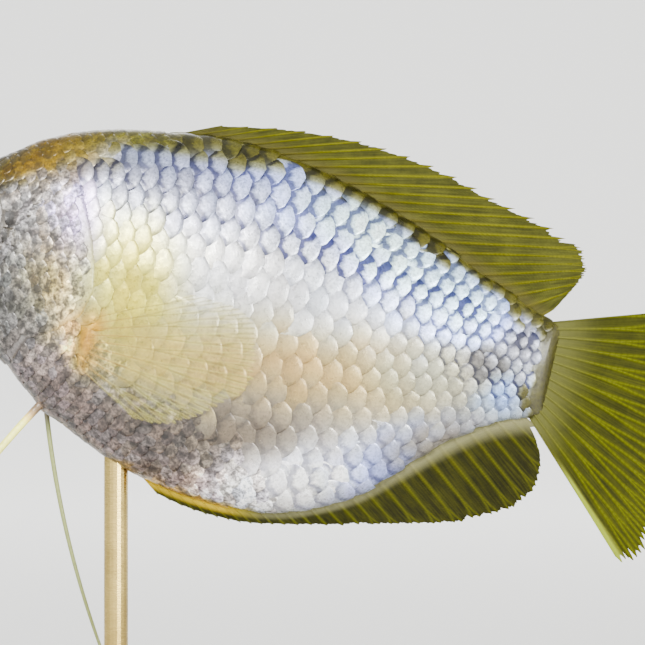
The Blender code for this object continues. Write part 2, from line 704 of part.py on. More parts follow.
def belly_height(world_x):
    """Height of the belly's underside in the world, at one place along it."""
    best = None
    for i in range(2001):
        x = STANDARD_LENGTH * i / 2000
        z = belly_at(i / 2000)
        here = SNOUT_AT.x + x * math.cos(HEAD_UP) + z * math.sin(HEAD_UP)
        if best is None or abs(here - world_x) < best[0]:
            best = (abs(here - world_x), SNOUT_AT.z - x * math.sin(HEAD_UP) + z * math.cos(HEAD_UP))
    return best[1]


def main():
    for old in list(bpy.data.objects):
        bpy.data.objects.remove(old)
    silver = paint("silver_flesh", (0.62, 0.64, 0.70), 0.35, 0.25)
    brown_silver = paint("head_flesh", (0.45, 0.41, 0.36), 0.40, 0.15)
    membrane = paint("fin_membrane", (0.42, 0.40, 0.16), 0.45)
    thread = paint("pelvic_ray", (0.72, 0.68, 0.45), 0.45)
    eye = paint("eye", (0.05, 0.05, 0.06), 0.08)
    wood = paint("stand_wood", (0.05, 0.03, 0.02), 0.40)
    brass = paint("stand_brass", (0.72, 0.56, 0.28), 0.25, 1.0)

    fish = bpy.data.objects.new("gourami", None)
    bpy.context.scene.collection.objects.link(fish)
    fish.location = SNOUT_AT
    fish.rotation_euler = (0.0, HEAD_UP, 0.0)
    bpy.context.view_layer.update()

    parts = flesh(fish)
    base, rod = stand(parts["torso"])
    for name, part in parts.items():
        finish(part, brown_silver if name in ("head", "gill_cover_left", "gill_cover_right") else silver)
    finish(dorsal_fin(fish), membrane)
    finish(anal_fin(fish), membrane)
    finish(caudal_fin(fish), membrane)
    for side, word in ((-1, "left"), (1, "right")):
        finish(pectoral_fin("pectoral_fin_" + word, side, fish), membrane)
        finish(pelvic_fin("pelvic_fin_" + word, side, fish), thread)
        finish(eye_ball("eye_" + word, side, fish, 0.0, 12, 22), eye)
    finish(base, wood)
    finish(rod, brass)


main()
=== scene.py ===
"""The looks of a female dwarf gourami, a life-size still model on a plain stand, dressed round its solids.

The fish is made in its own straight frame in metres, with the snout at the origin, +X towards the tail
and +Z towards the back, and its left side is -Y. world() then bends the tail and puts the fish in its place.
A share is a distance over that from the snout to the tail's root, and a place in the side view is (x, z).
Values shared with the solids keep the names that they have in the solids' source.
"""

import math

import bpy
import numpy as np
from mathutils import Matrix, Vector

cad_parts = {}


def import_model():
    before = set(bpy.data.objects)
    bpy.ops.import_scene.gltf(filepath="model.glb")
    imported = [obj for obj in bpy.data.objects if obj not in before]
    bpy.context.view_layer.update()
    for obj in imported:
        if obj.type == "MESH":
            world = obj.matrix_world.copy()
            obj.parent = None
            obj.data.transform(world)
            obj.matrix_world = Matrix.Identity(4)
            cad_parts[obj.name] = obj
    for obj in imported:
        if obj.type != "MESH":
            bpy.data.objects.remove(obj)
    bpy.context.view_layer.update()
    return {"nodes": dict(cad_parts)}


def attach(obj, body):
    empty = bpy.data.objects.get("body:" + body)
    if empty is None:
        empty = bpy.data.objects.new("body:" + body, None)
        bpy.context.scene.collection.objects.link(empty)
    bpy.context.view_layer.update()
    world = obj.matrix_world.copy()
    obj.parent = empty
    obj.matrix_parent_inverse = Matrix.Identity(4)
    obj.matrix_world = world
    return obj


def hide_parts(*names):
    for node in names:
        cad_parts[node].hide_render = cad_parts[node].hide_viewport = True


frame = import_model()
rng = np.random.default_rng(11)

# Sizes and outlines of the fish, as in the solids
MM = 0.001
STANDARD_LENGTH = 0.050
HEAD_UP = math.radians(13.0)
SNOUT_AT = Vector((-0.0271, 0.0, 0.0492))
TAIL_SWING = math.radians(13.0)
SWING_STARTS = 0.45 * STANDARD_LENGTH
SWING_ENDS = 1.25 * STANDARD_LENGTH
BACK = ((0, 0), (0.01, 0.021), (0.03, 0.042), (0.06, 0.067), (0.10, 0.098), (0.144, 0.128),
        (0.21, 0.175), (0.29, 0.206), (0.37, 0.222), (0.47, 0.232), (0.58, 0.226), (0.675, 0.203),
        (0.77, 0.171), (0.90, 0.117), (1.0, 0.078))
BELLY = ((0, 0), (0.01, -0.021), (0.03, -0.042), (0.06, -0.066), (0.13, -0.111), (0.211, -0.165),
         (0.271, -0.208), (0.346, -0.250), (0.42, -0.280), (0.50, -0.298), (0.59, -0.305), (0.65, -0.300),
         (0.71, -0.282), (0.781, -0.241), (0.838, -0.186), (0.895, -0.133), (0.951, -0.094), (1.0, -0.073))
HALF_WIDTH = ((0, 0), (0.02, 0.021), (0.06, 0.040), (0.12, 0.060), (0.20, 0.078), (0.30, 0.093),
              (0.40, 0.099), (0.50, 0.097), (0.60, 0.088), (0.70, 0.071), (0.80, 0.051), (0.90, 0.034),
              (1.0, 0.020))
WIDEST_LEVEL = ((0, 0), (0.10, 0.0), (0.20, -0.008), (0.35, -0.030), (0.50, -0.045), (0.65, -0.032),
                (0.80, -0.010), (1.0, 0.003))
BACK_SHARPNESS = 1.15
BELLY_SHARPNESS = 0.90
GILL_LINE = ((0.232, -0.30), (0.236, -0.160), (0.250, -0.125), (0.288, -0.103), (0.322, -0.074),
             (0.333, -0.035), (0.324, 0.010), (0.306, 0.060), (0.278, 0.112), (0.252, 0.150), (0.246, 0.30))
CHEEK_LINE = ((0.226, -0.140), (0.198, -0.080), (0.190, -0.025), (0.203, 0.038), (0.236, 0.090))
EYE_CENTRE = (0.119, 0.032)
EYE_RADIUS = 0.00250
EYE_DEPTH = 0.00135
EYE_PROUD = 0.00080
NOSTRILS = ((0.036, 0.032, 0.00026), (0.054, 0.052, 0.00022))
MOUTH_TILT = math.radians(-40.0)
MOUTH_REACH = 0.0021
MOUTH_RISE = 0.00024
DORSAL_BASE = (0.384, 0.984)
DORSAL_SPINES = 16
DORSAL_SOFT = 8
DORSAL_LEAN = ((0, 24), (0.15, 20), (0.30, 15), (0.50, 10), (0.68, 10), (0.82, 15), (0.93, 26), (1, 42))
DORSAL_EDGE = ((0.36, 0.227), (0.44, 0.246), (0.50, 0.257), (0.56, 0.267), (0.62, 0.272), (0.68, 0.272),
               (0.74, 0.267), (0.80, 0.257), (0.88, 0.236), (0.95, 0.218), (1.00, 0.200), (1.028, 0.182),
               (1.035, 0.160), (1.020, 0.125), (1.000, 0.090))
ANAL_BASE = (0.446, 0.990)
ANAL_SPINES = 17
ANAL_SOFT = 13
ANAL_LEAN = ((0, -36), (0.30, -32), (0.55, -34), (0.75, -38), (0.88, -38), (0.95, -34), (1, -28))
ANAL_EDGE = ((0.43, -0.288), (0.47, -0.304), (0.52, -0.317), (0.585, -0.323), (0.64, -0.319), (0.73, -0.300),
             (0.83, -0.276), (0.925, -0.250), (0.99, -0.222), (1.027, -0.188), (1.037, -0.145),
             (1.022, -0.108), (1.005, -0.085))
CAUDAL_RAYS = 14
CAUDAL_LEAN = ((0, 18), (0.5, -13), (1, -45))
CAUDAL_REACH = ((0, 12.8), (0.12, 13.4), (0.5, 12.9), (0.88, 13.3), (1, 13.1))
PECTORAL_RAYS = 10
PECTORAL_BASE = (0.340, -0.078, -0.144)
PECTORAL_LEAN = ((0, 26), (0.5, 2), (1, -30))
PECTORAL_REACH = ((0, 8.0), (0.2, 12.4), (0.45, 13.2), (0.75, 10.4), (1, 6.0))
PECTORAL_TURN = 0.0009
PECTORAL_FLARE = math.radians(12.0)
PELVIC_AT = 0.290
PELVIC_SPREAD = 0.0010
THREAD_RADIUS = 0.00031
THREAD_TIP = 0.00012
THREADS = {"left": (0.0300, 59.0, 84.0, 0.06), "right": (0.0290, 108.0, 130.0, 0.10)}
THREAD_SLIM = {"left": 0.95, "right": 0.62}
ROD_X = -0.0100
ROD_RADIUS = 0.0009
BASE_HEIGHT = 0.004

# How far the skin runs on past the tail's root and the rays' feet lie in the body's edge, the least gap
# between two surfaces, and the two sides
TAIL_ROOT = 0.0009
RAYS_INSIDE = 0.00035
CLEAR = 0.00001
SIDES = ((-1, "left"), (1, "right"))

# The coat: how deep the skin lies in the solids, how high a scale's rear edge stands over the skin, a scale's
# thickness, its half height in row spacings, how far its rear edge bows in pitches, the row spacing and pitch
# in millimetres at shares of the length, and the level of the middle row
SKIN_DEPTH = 0.00016
SCALE_LIFT = 0.00021
SCALE_THICK = 0.00004
HALF_SCALE = 0.90
EDGE_BOW = 1.1
ROW_SPACING = ((0.08, 0.85), (0.20, 1.25), (0.30, 1.42), (0.40, 1.62), (0.50, 1.78), (0.60, 1.80),
               (0.70, 1.62), (0.80, 1.34), (0.90, 1.08), (1.0, 0.84))
SCALE_PITCH = ((0.08, 0.70), (0.20, 0.98), (0.30, 1.12), (0.40, 1.28), (0.50, 1.42), (0.60, 1.50),
               (0.70, 1.45), (0.80, 1.28), (0.90, 1.08), (1.0, 0.82))
SIDE_LINE = ((0.10, 0.0), (0.30, -0.002), (0.50, -0.010), (0.75, -0.010), (1.0, 0.0))
# How much smaller pitch and spacing are on breast and head, half a scale's square in the map, and the hues
# that single scales lean to
SMALLER_BREAST = (0.62, 0.55)
SMALLER_HEAD = (0.80, 0.66)
UV_HALF = 0.0015
PLATE_HUES = ((1.06, 0.97, 0.92), (0.94, 0.98, 1.08), (1.03, 1.0, 0.94), (1.0, 0.96, 1.06))

# The skin's rows of points from the snout to behind the gill covers, which crowd towards the snout, its rows
# on the trunk, and the points in each
FINE_UNTIL = 0.344
FINE_ROWS = 190
TRUNK_ROWS = 111
SKIN_SIDES = 256

# How bright light must be for the picture to show it at a tone, and how bright the studio lights the fish
SEEN = (0.0, 0.071, 0.165, 0.298, 0.376, 0.463, 0.533, 0.600, 0.667, 0.722, 0.773, 0.812, 0.851, 0.890,
        0.914, 1.0)
LIGHT = (0.0, 0.01, 0.03, 0.08, 0.12, 0.18, 0.25, 0.35, 0.50, 0.70, 1.0, 1.4, 2.0, 3.0, 4.0, 9.0)
STUDIO_LIGHT = 3.2
# How dark the gaps between the flank's scales are, partly painted shade and partly the scales' own pigment,
# and how dark the small scales' flecks are
GAP_SHADE = (0.045, 0.049, 0.15, 1.0)
FLECK_SHADE = (0.15, 0.14, 0.14, 1.0)

# Heights of the row of pored scales, of where the gaps between the flank's bright scales fade, on the mid
# flank as part of its painted highlight, and of where the small scales of breast and belly end
PORE_ROW = ((0.30, 0.095), (0.55, 0.106), (0.64, 0.100), (0.80, 0.076), (1.0, 0.030))
GAPS_FADE = ((0.30, 0.120), (0.50, 0.088), (0.65, 0.062), (0.80, 0.020), (0.88, -0.030), (1.0, -0.060))
SMALL_SCALES_TO = ((0.30, -0.080), (0.36, -0.100), (0.48, -0.155), (0.58, -0.195), (0.66, -0.240),
                   (0.69, -0.35))
# Further patches where the gaps stand out: how much, then place, size and lean as below
GAP_PATCHES = ((0.45, (0.78, -0.19), (0.12, 0.05), 38), (0.30, (0.56, -0.19), (0.16, 0.05), 17),
               (0.20, (0.66, -0.25), (0.12, 0.03), 20), (0.30, (0.935, -0.060), (0.05, 0.035), 33))

# Markings, and the painted highlight of the mid flank: colour as seen, then place, size and lean (degrees)
# in shares of the length, and strength
MARKINGS_AND_PAINTED_HIGHLIGHT = (
    # Painted highlight over the flank's own silver: the mid flank whitened where strong light washes it out
    ((0.83, 0.83, 0.83), (0.501, 0.038), (0.230, 0.115), -2, 1.0),
    ((0.81, 0.83, 0.89), (0.560, 0.172), (0.300, 0.050), -8, 0.9),
    ((0.72, 0.74, 0.80), (0.390, 0.150), (0.120, 0.050), 8, 0.9),
    ((0.87, 0.90, 0.97), (0.730, 0.130), (0.150, 0.060), -22, 0.9),
    ((0.83, 0.87, 0.98), (0.880, 0.070), (0.110, 0.070), -17, 0.9),
    ((0.81, 0.79, 0.25), (0.385, -0.040), (0.055, 0.110), 13, 0.95),
    ((0.80, 0.77, 0.40), (0.470, -0.110), (0.100, 0.050), 13, 0.8),
    ((0.78, 0.715, 0.46), (0.660, -0.085), (0.230, 0.055), 9, 0.95),
    ((0.76, 0.76, 0.71), (0.831, -0.045), (0.085, 0.040), 9, 0.85),
    ((0.93, 0.93, 0.94), (0.660, -0.250), (0.200, 0.055), 20, 1.0),
    ((0.72, 0.75, 0.86), (0.832, -0.165), (0.100, 0.040), 38, 0.8),
    ((0.60, 0.54, 0.44), (0.553, -0.190), (0.140, 0.036), 17, 0.9),
    ((0.62, 0.61, 0.58), (0.430, -0.190), (0.095, 0.040), -10, 0.8),
    ((0.50, 0.44, 0.36), (0.480, -0.216), (0.085, 0.026), -6, 0.9),
    ((0.60, 0.54, 0.52), (0.330, -0.215), (0.150, 0.070), -30, 1.0),
    ((0.62, 0.60, 0.58), (0.220, 0.030), (0.060, 0.090), 10, 0.8),
    ((0.92, 0.88, 0.84), (0.500, -0.266), (0.065, 0.024), -5, 0.9),
    ((0.82, 0.79, 0.86), (0.276, 0.069), (0.034, 0.060), 3, 1.0),
    ((0.82, 0.78, 0.56), (0.262, -0.040), (0.040, 0.050), 13, 0.95),
    ((0.60, 0.60, 0.54), (0.110, -0.060), (0.090, 0.055), -40, 0.95),
    ((0.46, 0.46, 0.43), (0.205, -0.080), (0.050, 0.055), 13, 0.95),
    ((0.55, 0.50, 0.42), (0.235, 0.020), (0.012, 0.050), 10, 0.7),
    ((0.62, 0.56, 0.44), (0.240, 0.115), (0.060, 0.014), 25, 0.7),
    ((0.86, 0.81, 0.62), (0.305, -0.090), (0.034, 0.016), 45, 0.9),
    ((0.80, 0.70, 0.00), (0.338, -0.106), (0.016, 0.040), 8, 1.0),
    ((0.92, 0.88, 0.76), (0.314, -0.122), (0.010, 0.034), 12, 1.0),
    ((0.47, 0.45, 0.43), (0.916, -0.008), (0.024, 0.021), 0, 0.95),
    ((0.70, 0.78, 0.88), (0.950, -0.048), (0.036, 0.027), 33, 0.8),
    ((0.65, 0.66, 0.72), (0.415, 0.128), (0.110, 0.032), -5, 0.7),
    ((0.64, 0.64, 0.65), (0.962, 0.034), (0.030, 0.046), 0, 0.7),
    ((0.70, 0.66, 0.57), (0.864, -0.139), (0.060, 0.022), 30, 0.7),
    ((0.46, 0.41, 0.37), (0.474, -0.244), (0.060, 0.030), -15, 0.8),
)
FLANK = (0.80, 0.81, 0.83)
THREAD_ROOT = (0.62, 0.53, 0.40)
NAPE = (0.63, 0.53, 0.0)
BACK_BAND = (0.52, 0.50, 0.08)
BREAST_RIM = (0.66, 0.58, 0.42)
ANAL_RIM = (0.85, 0.76, 0.30)
SNOUT = (0.46, 0.42, 0.28)
LIPS = (0.60, 0.52, 0.46)
TAIL_BASE = (0.42, 0.40, 0.04)
EYE_RIM = (0.42, 0.38, 0.30)
EYE_LIDS = (0.28, 0.25, 0.22)
IRIS = ((0.40, (0.03, 0.03, 0.035)), (0.42, (0.82, 0.70, 0.26)), (0.46, (0.80, 0.64, 0.22)),
        (0.53, (0.60, 0.36, 0.12)), (0.66, (0.66, 0.48, 0.24)), (0.78, (0.50, 0.38, 0.22)),
        (0.90, (0.16, 0.13, 0.10)))
WOOD = ((0.50, (0.016, 0.007, 0.004)), (0.66, (0.055, 0.024, 0.011)), (0.80, (0.115, 0.052, 0.024)))
BRASS = ((0.38, (0.34, 0.24, 0.07)), (0.62, (0.56, 0.41, 0.13)))
THREAD_COLOUR = {"left": (0.93, 0.89, 0.70), "right": (0.70, 0.72, 0.48)}
THREAD_END = (0.66, 0.68, 0.40)

# Each fin's web and rays, both as two colours that it wanders between, how solid they are, and the rays' foot
FIN_LOOKS = {
    "gourami_fin": (((0.30, 0.305, 0.08), (0.42, 0.425, 0.11)), ((0.56, 0.555, 0.0), (0.45, 0.45, 0.0)),
                    (0.985, 1.0), (0.40, 0.37, 0.0)),
    "gourami_anal_fin": (((0.15, 0.15, 0.0), (0.26, 0.26, 0.0)), ((0.42, 0.43, 0.0), (0.32, 0.33, 0.0)),
                         (0.992, 1.0), (0.40, 0.38, 0.05)),
    "gourami_tail_fin": (((0.23, 0.24, 0.0), (0.34, 0.35, 0.0)), ((0.49, 0.51, 0.0), (0.37, 0.39, 0.0)),
                         (0.992, 1.0), (0.50, 0.50, 0.14)),
    "gourami_pectoral": (((0.88, 0.86, 0.60), (0.92, 0.90, 0.70)), ((0.55, 0.49, 0.20), (0.47, 0.41, 0.16)),
                         (0.02, 0.25), (0.78, 0.56, 0.10)),
}
DORSAL_FOOT = (0.50, 0.46, 0.24)
ANAL_FOOT = (0.66, 0.65, 0.50)
ANAL_FRONT = (0.84, 0.80, 0.20)
CAUDAL_FOOT = (0.56, 0.56, 0.30)
CAUDAL_LOW_EDGE = (0.74, 0.78, 0.20)
PECTORAL_FOOT = (0.79, 0.69, 0.0)

# Each lamp's name, place, size, power, colour and aim, the light from all round, the middle and width of what
# the camera sees, in metres, and its sensor and lens, in millimetres
LAMPS = (
    ("key", (-0.10, -0.45, 0.30), (0.20, 0.20), 8.5, (1.0, 0.99, 0.97), (0.004, 0.0, 0.036)),
    ("fill", (0.34, -0.42, 0.07), (0.30, 0.12), 3.5, (0.95, 0.97, 1.0), (0.004, 0.0, 0.036)),
    ("back", (0.05, 0.55, 0.45), (0.50, 0.40), 2.5, (1.0, 1.0, 1.0), (0.004, 0.0, 0.036)),
    ("wall", (0.0, 0.45, 0.75), (0.80, 0.30), 14.0, (1.0, 1.0, 1.0), (0.0, 1.4, 0.25)),
)
SKY = (0.95, 0.97, 1.0, 1.0)
SKY_STRENGTH = 0.65
FRAME_MIDDLE = (0.0054, 0.0415)
FRAME_WIDTH = 0.0481
SENSOR, LENS = 36.0, 200.0


def through(knots, scale=1.0, bend=1.0):
    """A smooth curve through the knots that keeps their rises and falls. bend 0.5 rounds its start."""
    xs = np.array([k[0] for k in knots], float) ** bend
    ys = np.array([k[1] for k in knots], float) * scale
    steps = np.diff(xs)
    slopes = np.diff(ys) / steps
    tangents = np.concatenate([slopes[:1], (slopes[1:] + slopes[:-1]) / 2, slopes[-1:]])
    for i in range(1, len(xs) - 1):
        limit = 3 * min(abs(slopes[i - 1]), abs(slopes[i]))
        turns = slopes[i - 1] * slopes[i] <= 0
        tangents[i] = 0.0 if turns else math.copysign(min(abs(tangents[i]), limit), tangents[i])

    def value(x):
        x = np.clip(np.maximum(x, 0.0) ** bend, xs[0], xs[-1])
        i = np.clip(np.searchsorted(xs, x) - 1, 0, len(steps) - 1)
        h = steps[i]
        t = (x - xs[i]) / h
        return ((2 * t**3 - 3 * t**2 + 1) * ys[i] + (t**3 - 2 * t**2 + t) * h * tangents[i]
                + (3 * t**2 - 2 * t**3) * ys[i + 1] + (t**3 - t**2) * h * tangents[i + 1])

    return value


back_at = through(BACK, STANDARD_LENGTH, 0.5)
belly_at = through(BELLY, STANDARD_LENGTH, 0.5)
width_at = through(HALF_WIDTH, STANDARD_LENGTH, 0.5)
level_at = through(WIDEST_LEVEL, STANDARD_LENGTH)
row_spacing = through(ROW_SPACING, MM)
scale_pitch = through(SCALE_PITCH, MM)
side_line = through(SIDE_LINE, STANDARD_LENGTH)


def ease(value, zero, one):
    """Goes smoothly from 0 where the value is at zero to 1 where it is at one."""
    t = np.clip((value - zero) / (one - zero), 0.0, 1.0)
    return t * t * (3 - 2 * t)


def ridge(distance, place, width):
    return np.exp(-((distance - place) / width) ** 2)


def section(x, inset=0.0):
    """Half width, widest level, and rise and drop from it, of the body at distances from the snout."""
    share = x / STANDARD_LENGTH
    level = level_at(share)
    ending = np.clip((x - STANDARD_LENGTH) / TAIL_ROOT, 0.0, 1.0)
    least = 0.05 * MM
    width = np.maximum(width_at(share) - inset, least) * (1 - 0.85 * ending**2)
    tall = 1 - 0.10 * ending**2
    rise = np.maximum(back_at(share) - inset - level, least) * tall
    return width, level, rise, np.maximum(level - belly_at(share) - inset, least) * tall


def body_point(x, turn, inset=0.0):
    """Points on the straight body. turn 0 is the left flank and a quarter turn is the back."""
    width, level, rise, drop = section(x, inset)
    high = np.sin(turn) >= 0
    sharp = np.where(high, BACK_SHARPNESS, BELLY_SHARPNESS)
    out = np.sign(np.cos(turn)) * np.abs(np.cos(turn)) ** sharp
    return np.stack([x + 0 * turn, -width * out, level + np.where(high, rise, drop) * np.sin(turn)], -1)


def flank_at(x, z):
    """Half width of the body at one height."""
    width, level, rise, drop = section(x)
    share = (z - level) / np.where(z > level, rise, drop)
    sharp = np.where(z > level, BACK_SHARPNESS, BELLY_SHARPNESS)
    return width * np.maximum(1 - share * share, 0.0) ** (sharp / 2)


def world(points):
    """Bends the tail to the fish's right and puts the fish in its place and tilt."""
    span = SWING_ENDS - SWING_STARTS
    along = np.maximum(points[..., 0] - SWING_STARTS, 0.0) / span
    heading = TAIL_SWING * along**2
    drift = TAIL_SWING * span * along**3 / 3
    bent = np.stack([points[..., 0] - points[..., 1] * np.sin(heading),
                     points[..., 1] * np.cos(heading) + drift, points[..., 2]], -1)
    turn = np.array(Matrix.Rotation(HEAD_UP, 3, "Y"))
    return bent @ turn.T + np.array(SNOUT_AT)


def in_shares(x, z):
    """A place, how far it lies under the back and how far over the belly, all in shares."""
    x, z = x / STANDARD_LENGTH, z / STANDARD_LENGTH
    return x, z, back_at(x) / STANDARD_LENGTH - z, z - belly_at(x) / STANDARD_LENGTH


def from_mouth(x, z):
    """How far along the mouth a place lies from its front, and how far beside it."""
    off = np.abs(z * math.cos(MOUTH_TILT) - x * math.sin(MOUTH_TILT) - MOUTH_RISE)
    return x * math.cos(MOUTH_TILT) + z * math.sin(MOUTH_TILT), off


def normals_of(grid, wrap=False):
    """Unit normals of a grid of points, out of the body where rows run tailwards and columns run up."""
    along = np.gradient(grid, axis=0)
    if wrap:
        around = (np.roll(grid, -1, axis=1) - np.roll(grid, 1, axis=1)) / 2
    else:
        around = np.gradient(grid, axis=1)
    normal = np.cross(along, around)
    return normal / np.maximum(np.linalg.norm(normal, axis=-1, keepdims=True), 1e-12)


def along_line(knots):
    """The line's x at each height, all in metres."""
    zs = np.array([k[1] for k in knots]) * STANDARD_LENGTH
    xs = np.array([k[0] for k in knots]) * STANDARD_LENGTH
    fine = np.linspace(zs[0], zs[-1], 200)
    smoothed = np.interp(fine, zs, xs)
    for _ in range(3):
        smoothed[1:-1] = (smoothed[:-2] + 2 * smoothed[1:-1] + smoothed[2:]) / 4
    slope = np.gradient(smoothed, fine)

    def ahead(x, z):
        """How far a place lies in front of the line."""
        steep = np.sqrt(1 + np.interp(z, fine, slope) ** 2)
        return (np.interp(z, fine, smoothed) - x) / steep

    return ahead


gill_ahead = along_line(GILL_LINE)
cheek_ahead = along_line(CHEEK_LINE)


def relief(x, z, covered=True):
    """How far the skin stands out of the smooth body, in metres. In here, distances are in millimetres."""
    ahead, before = gill_ahead(x, z) / MM, cheek_ahead(x, z) / MM
    along, beside = (distance / MM for distance in from_mouth(x, z))
    share_x, share_z, _under, over_belly = in_shares(x, z)
    x, z, over_belly, length = x / MM, z / MM, over_belly * STANDARD_LENGTH / MM, STANDARD_LENGTH / MM

    # Pads at the roots of the pectoral and pelvic fins
    root_x = x - (PECTORAL_BASE[0] - 0.002) * length
    root_z = z - (PECTORAL_BASE[1] + PECTORAL_BASE[2]) / 2 * length
    h = 0.34 * np.exp(-(root_x / 0.55) ** 2 - (root_z / 1.75) ** 4)
    root_x = x - (PELVIC_AT + 0.006) * length
    root_z = z - belly_at(PELVIC_AT) / MM
    h += 0.26 * np.exp(-(root_x / 0.95) ** 2 - (root_z / 0.9) ** 2)
    if not covered:
        return h * MM

    # Rolled rim and socket of the eye and the fold under it, then nostrils, lips, mouth and its corner
    eye_x, eye_z = EYE_CENTRE[0] * length, EYE_CENTRE[1] * length
    from_eye = np.hypot(x - eye_x, z - eye_z)
    h += 0.15 * ridge(from_eye, 2.66, 0.24) - 0.06 * ridge(from_eye, 3.25, 0.25)
    h -= 1.7 * ease(from_eye, 2.38, 2.08)
    h -= 0.07 * ease(z, eye_z, eye_z - 1) * ridge(from_eye, 4.3, 0.16)
    for nostril_x, nostril_z, radius in NOSTRILS:
        off = np.hypot(x - nostril_x * length, z - nostril_z * length) * MM / radius
        h += 0.09 * ridge(off, 1.6, 0.6) - 0.40 * ridge(off, 0, 0.8)
    lips = 0.20 * ridge(beside, 0.30, 0.22) - 0.50 * ridge(beside, 0, 0.10) - 0.10 * ridge(beside, 0.90, 0.16)
    corner = MOUTH_REACH / MM + 0.5
    h += ease(along, corner, corner - 0.5) * lips
    h -= 0.10 * ridge(along, corner, 0.25) * ridge(beside, 0, 0.9)

    # Gill cover with its raised plate and the slit behind it, then the folds of cheek and throat
    opens = ease(share_z, 0.150, 0.100) * ease(share_z, -0.175, -0.145)
    plate = ease(ahead, 0, 0.10) * (0.25 + 0.75 * ease(ahead, 4.5, 0))
    h += opens * (0.30 * plate * ease(share_x, 0.12, 0.16) - 0.12 * ridge(ahead, -0.12, 0.16))
    on_cheek = ease(share_z, 0.105, 0.075) * ease(share_z, -0.150, -0.120)
    h += on_cheek * (0.10 * ridge(before, 0.28, 0.22) - 0.12 * ridge(before, 0, 0.13))
    fold = (share_z + 0.078 + 0.10 * (share_x - 0.20)) * length
    h -= 0.07 * ridge(fold, 0, 0.12) * ease(ahead, 0, 1) * ease(before, 0, -0.5)
    throat = ease(share_x, 0.05, 0.07) * ease(share_x, 0.235, 0.215)
    for level in (0.8, 1.5):
        h -= 0.07 * throat * ridge(over_belly, level, 0.13)
    return h * MM


def dressed(grid, wrap=False, covered=True):
    """Adds the relief to a grid of body points, and gives its normals."""
    points = grid + normals_of(grid, wrap) * relief(grid[..., 0], grid[..., 2], covered)[..., None]
    return points, normals_of(points, wrap)


def patch(x, z, at, size, lean):
    turn = math.radians(lean)
    a = ((x - at[0]) * math.cos(turn) + (z - at[1]) * math.sin(turn)) / size[0]
    b = ((z - at[1]) * math.cos(turn) - (x - at[0]) * math.sin(turn)) / size[1]
    return np.exp(-(a * a + b * b) ** 1.1)


def paint(x, z):
    """The fish's colours at places in the side view, as seen, from its named markings and its painted
    highlight.
    """
    along, beside = (distance / STANDARD_LENGTH for distance in from_mouth(x, z))
    x, z, under_back, over_belly = in_shares(x, z)
    colour = np.full((*x.shape, 3), FLANK)

    def lay(tint, amount):
        colour[:] = blend(colour, tint, np.clip(amount, 0, 1))

    for tint, at, size, lean, strength in MARKINGS_AND_PAINTED_HIGHLIGHT:
        lay(tint, strength * patch(x, z, at, size, lean))
    band = 0.030 - 0.012 * ease(x, 0.45, 0.75) + 0.014 * ease(x, 0.30, 0.20)
    lay(BACK_BAND, 0.95 * ease(under_back, 1.5 * band, 0.5 * band))
    lay(NAPE, 0.95 * ease(x, 0.34, 0.20) * ease(under_back, 0.070, 0.045))
    lay(TAIL_BASE, ease(x, 0.985, 0.997))
    lay(BREAST_RIM, 0.8 * ease(x, 0.45, 0.35) * ease(over_belly, 0.018, 0))
    lay(ANAL_RIM, 0.8 * ease(x, 0.38, 0.43) * ease(x, 0.66, 0.56) * ease(over_belly, 0.014, 0))
    lay(SNOUT, 0.9 * ease(x, 0.12, 0.03) * ease(z, -0.02, 0.03))
    lay(SNOUT, 0.9 * ease(x, 0.19, 0.15) * ease(under_back, 0.042, 0.012))
    lay(LIPS, 0.8 * ease(along, 0.054, 0.044) * ease(beside, 0.014, 0.008))
    from_eye = np.hypot(x - EYE_CENTRE[0], z - EYE_CENTRE[1])
    lay(EYE_RIM, 0.7 * ease(from_eye, 0.078, 0.058))
    lay(EYE_LIDS, 0.7 * ease(from_eye, 0.058, 0.050))
    return colour


def linear(colour):
    """Turns a colour as the picture shows it, under the studio's light, into the shader's linear one."""
    return np.clip(np.interp(colour, SEEN, LIGHT) / STUDIO_LIGHT, 0.001, 0.95)


def rgba(colour):
    return (*(float(c) for c in linear(colour)), 1.0)


def with_alpha(colours):
    """Shader colours with an alpha of 1, from colours as the picture shows them."""
    return np.concatenate([linear(colours), np.ones((len(colours), 1))], axis=1)


def blend(a, b, amount):
    """The colours from a to b, where the amount goes from 0 to 1."""
    return np.array(a) + (np.array(b) - np.array(a)) * amount[..., None]


def placed(name, data):
    made = bpy.data.objects.new(name, data)
    bpy.context.scene.collection.objects.link(made)
    return made


def new_piece(name, points, faces, material, slot, replaces=(), sharp=40, **attributes):
    """Makes a closed mesh piece with its faces outwards, gives it its attributes and hangs it on the body."""
    mesh = bpy.data.meshes.new(name)
    mesh.from_pydata(points.tolist(), [], faces)
    mesh.update()
    corners = np.array([(face[0], face[i], face[i + 1]) for face in faces for i in range(1, len(face) - 1)])
    if np.linalg.det(points[corners] - points.mean(axis=0)).sum() < 0:
        mesh.flip_normals()
    for key, values in attributes.items():
        kind, width = {1: ("FLOAT", "value"), 3: ("FLOAT_VECTOR", "vector"),
                       4: ("FLOAT_COLOR", "color")}[values.size // len(values)]
        mesh.attributes.new(key, kind, "POINT").data.foreach_set(width, values.astype(np.float32).ravel())
    mesh.shade_smooth()
    mesh.set_sharp_from_angle(angle=math.radians(sharp))
    mesh.materials.append(material)
    piece = placed(name, mesh)
    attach(piece, "root")
    if replaces:
        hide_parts(*replaces)
    return piece


def circle(sides):
    return np.linspace(0, 2 * math.pi, sides, endpoint=False)


def ring_faces(rings, sides, tips=()):
    """The faces between rings of points, and those that close the first and last ring at their tips."""
    faces = []
    for i in range(rings - 1):
        for j in range(sides):
            a, b = i * sides + j, i * sides + (j + 1) % sides
            faces.append((a, b, b + sides, a + sides))
    if tips:
        last = (rings - 1) * sides
        faces += [(tips[0], (j + 1) % sides, j) for j in range(sides)]
        faces += [(tips[1], last + j, last + (j + 1) % sides) for j in range(sides)]
    return faces


# Materials

def new_material(name):
    material = bpy.data.materials.new(name)
    material.use_nodes = True
    return material, material.node_tree


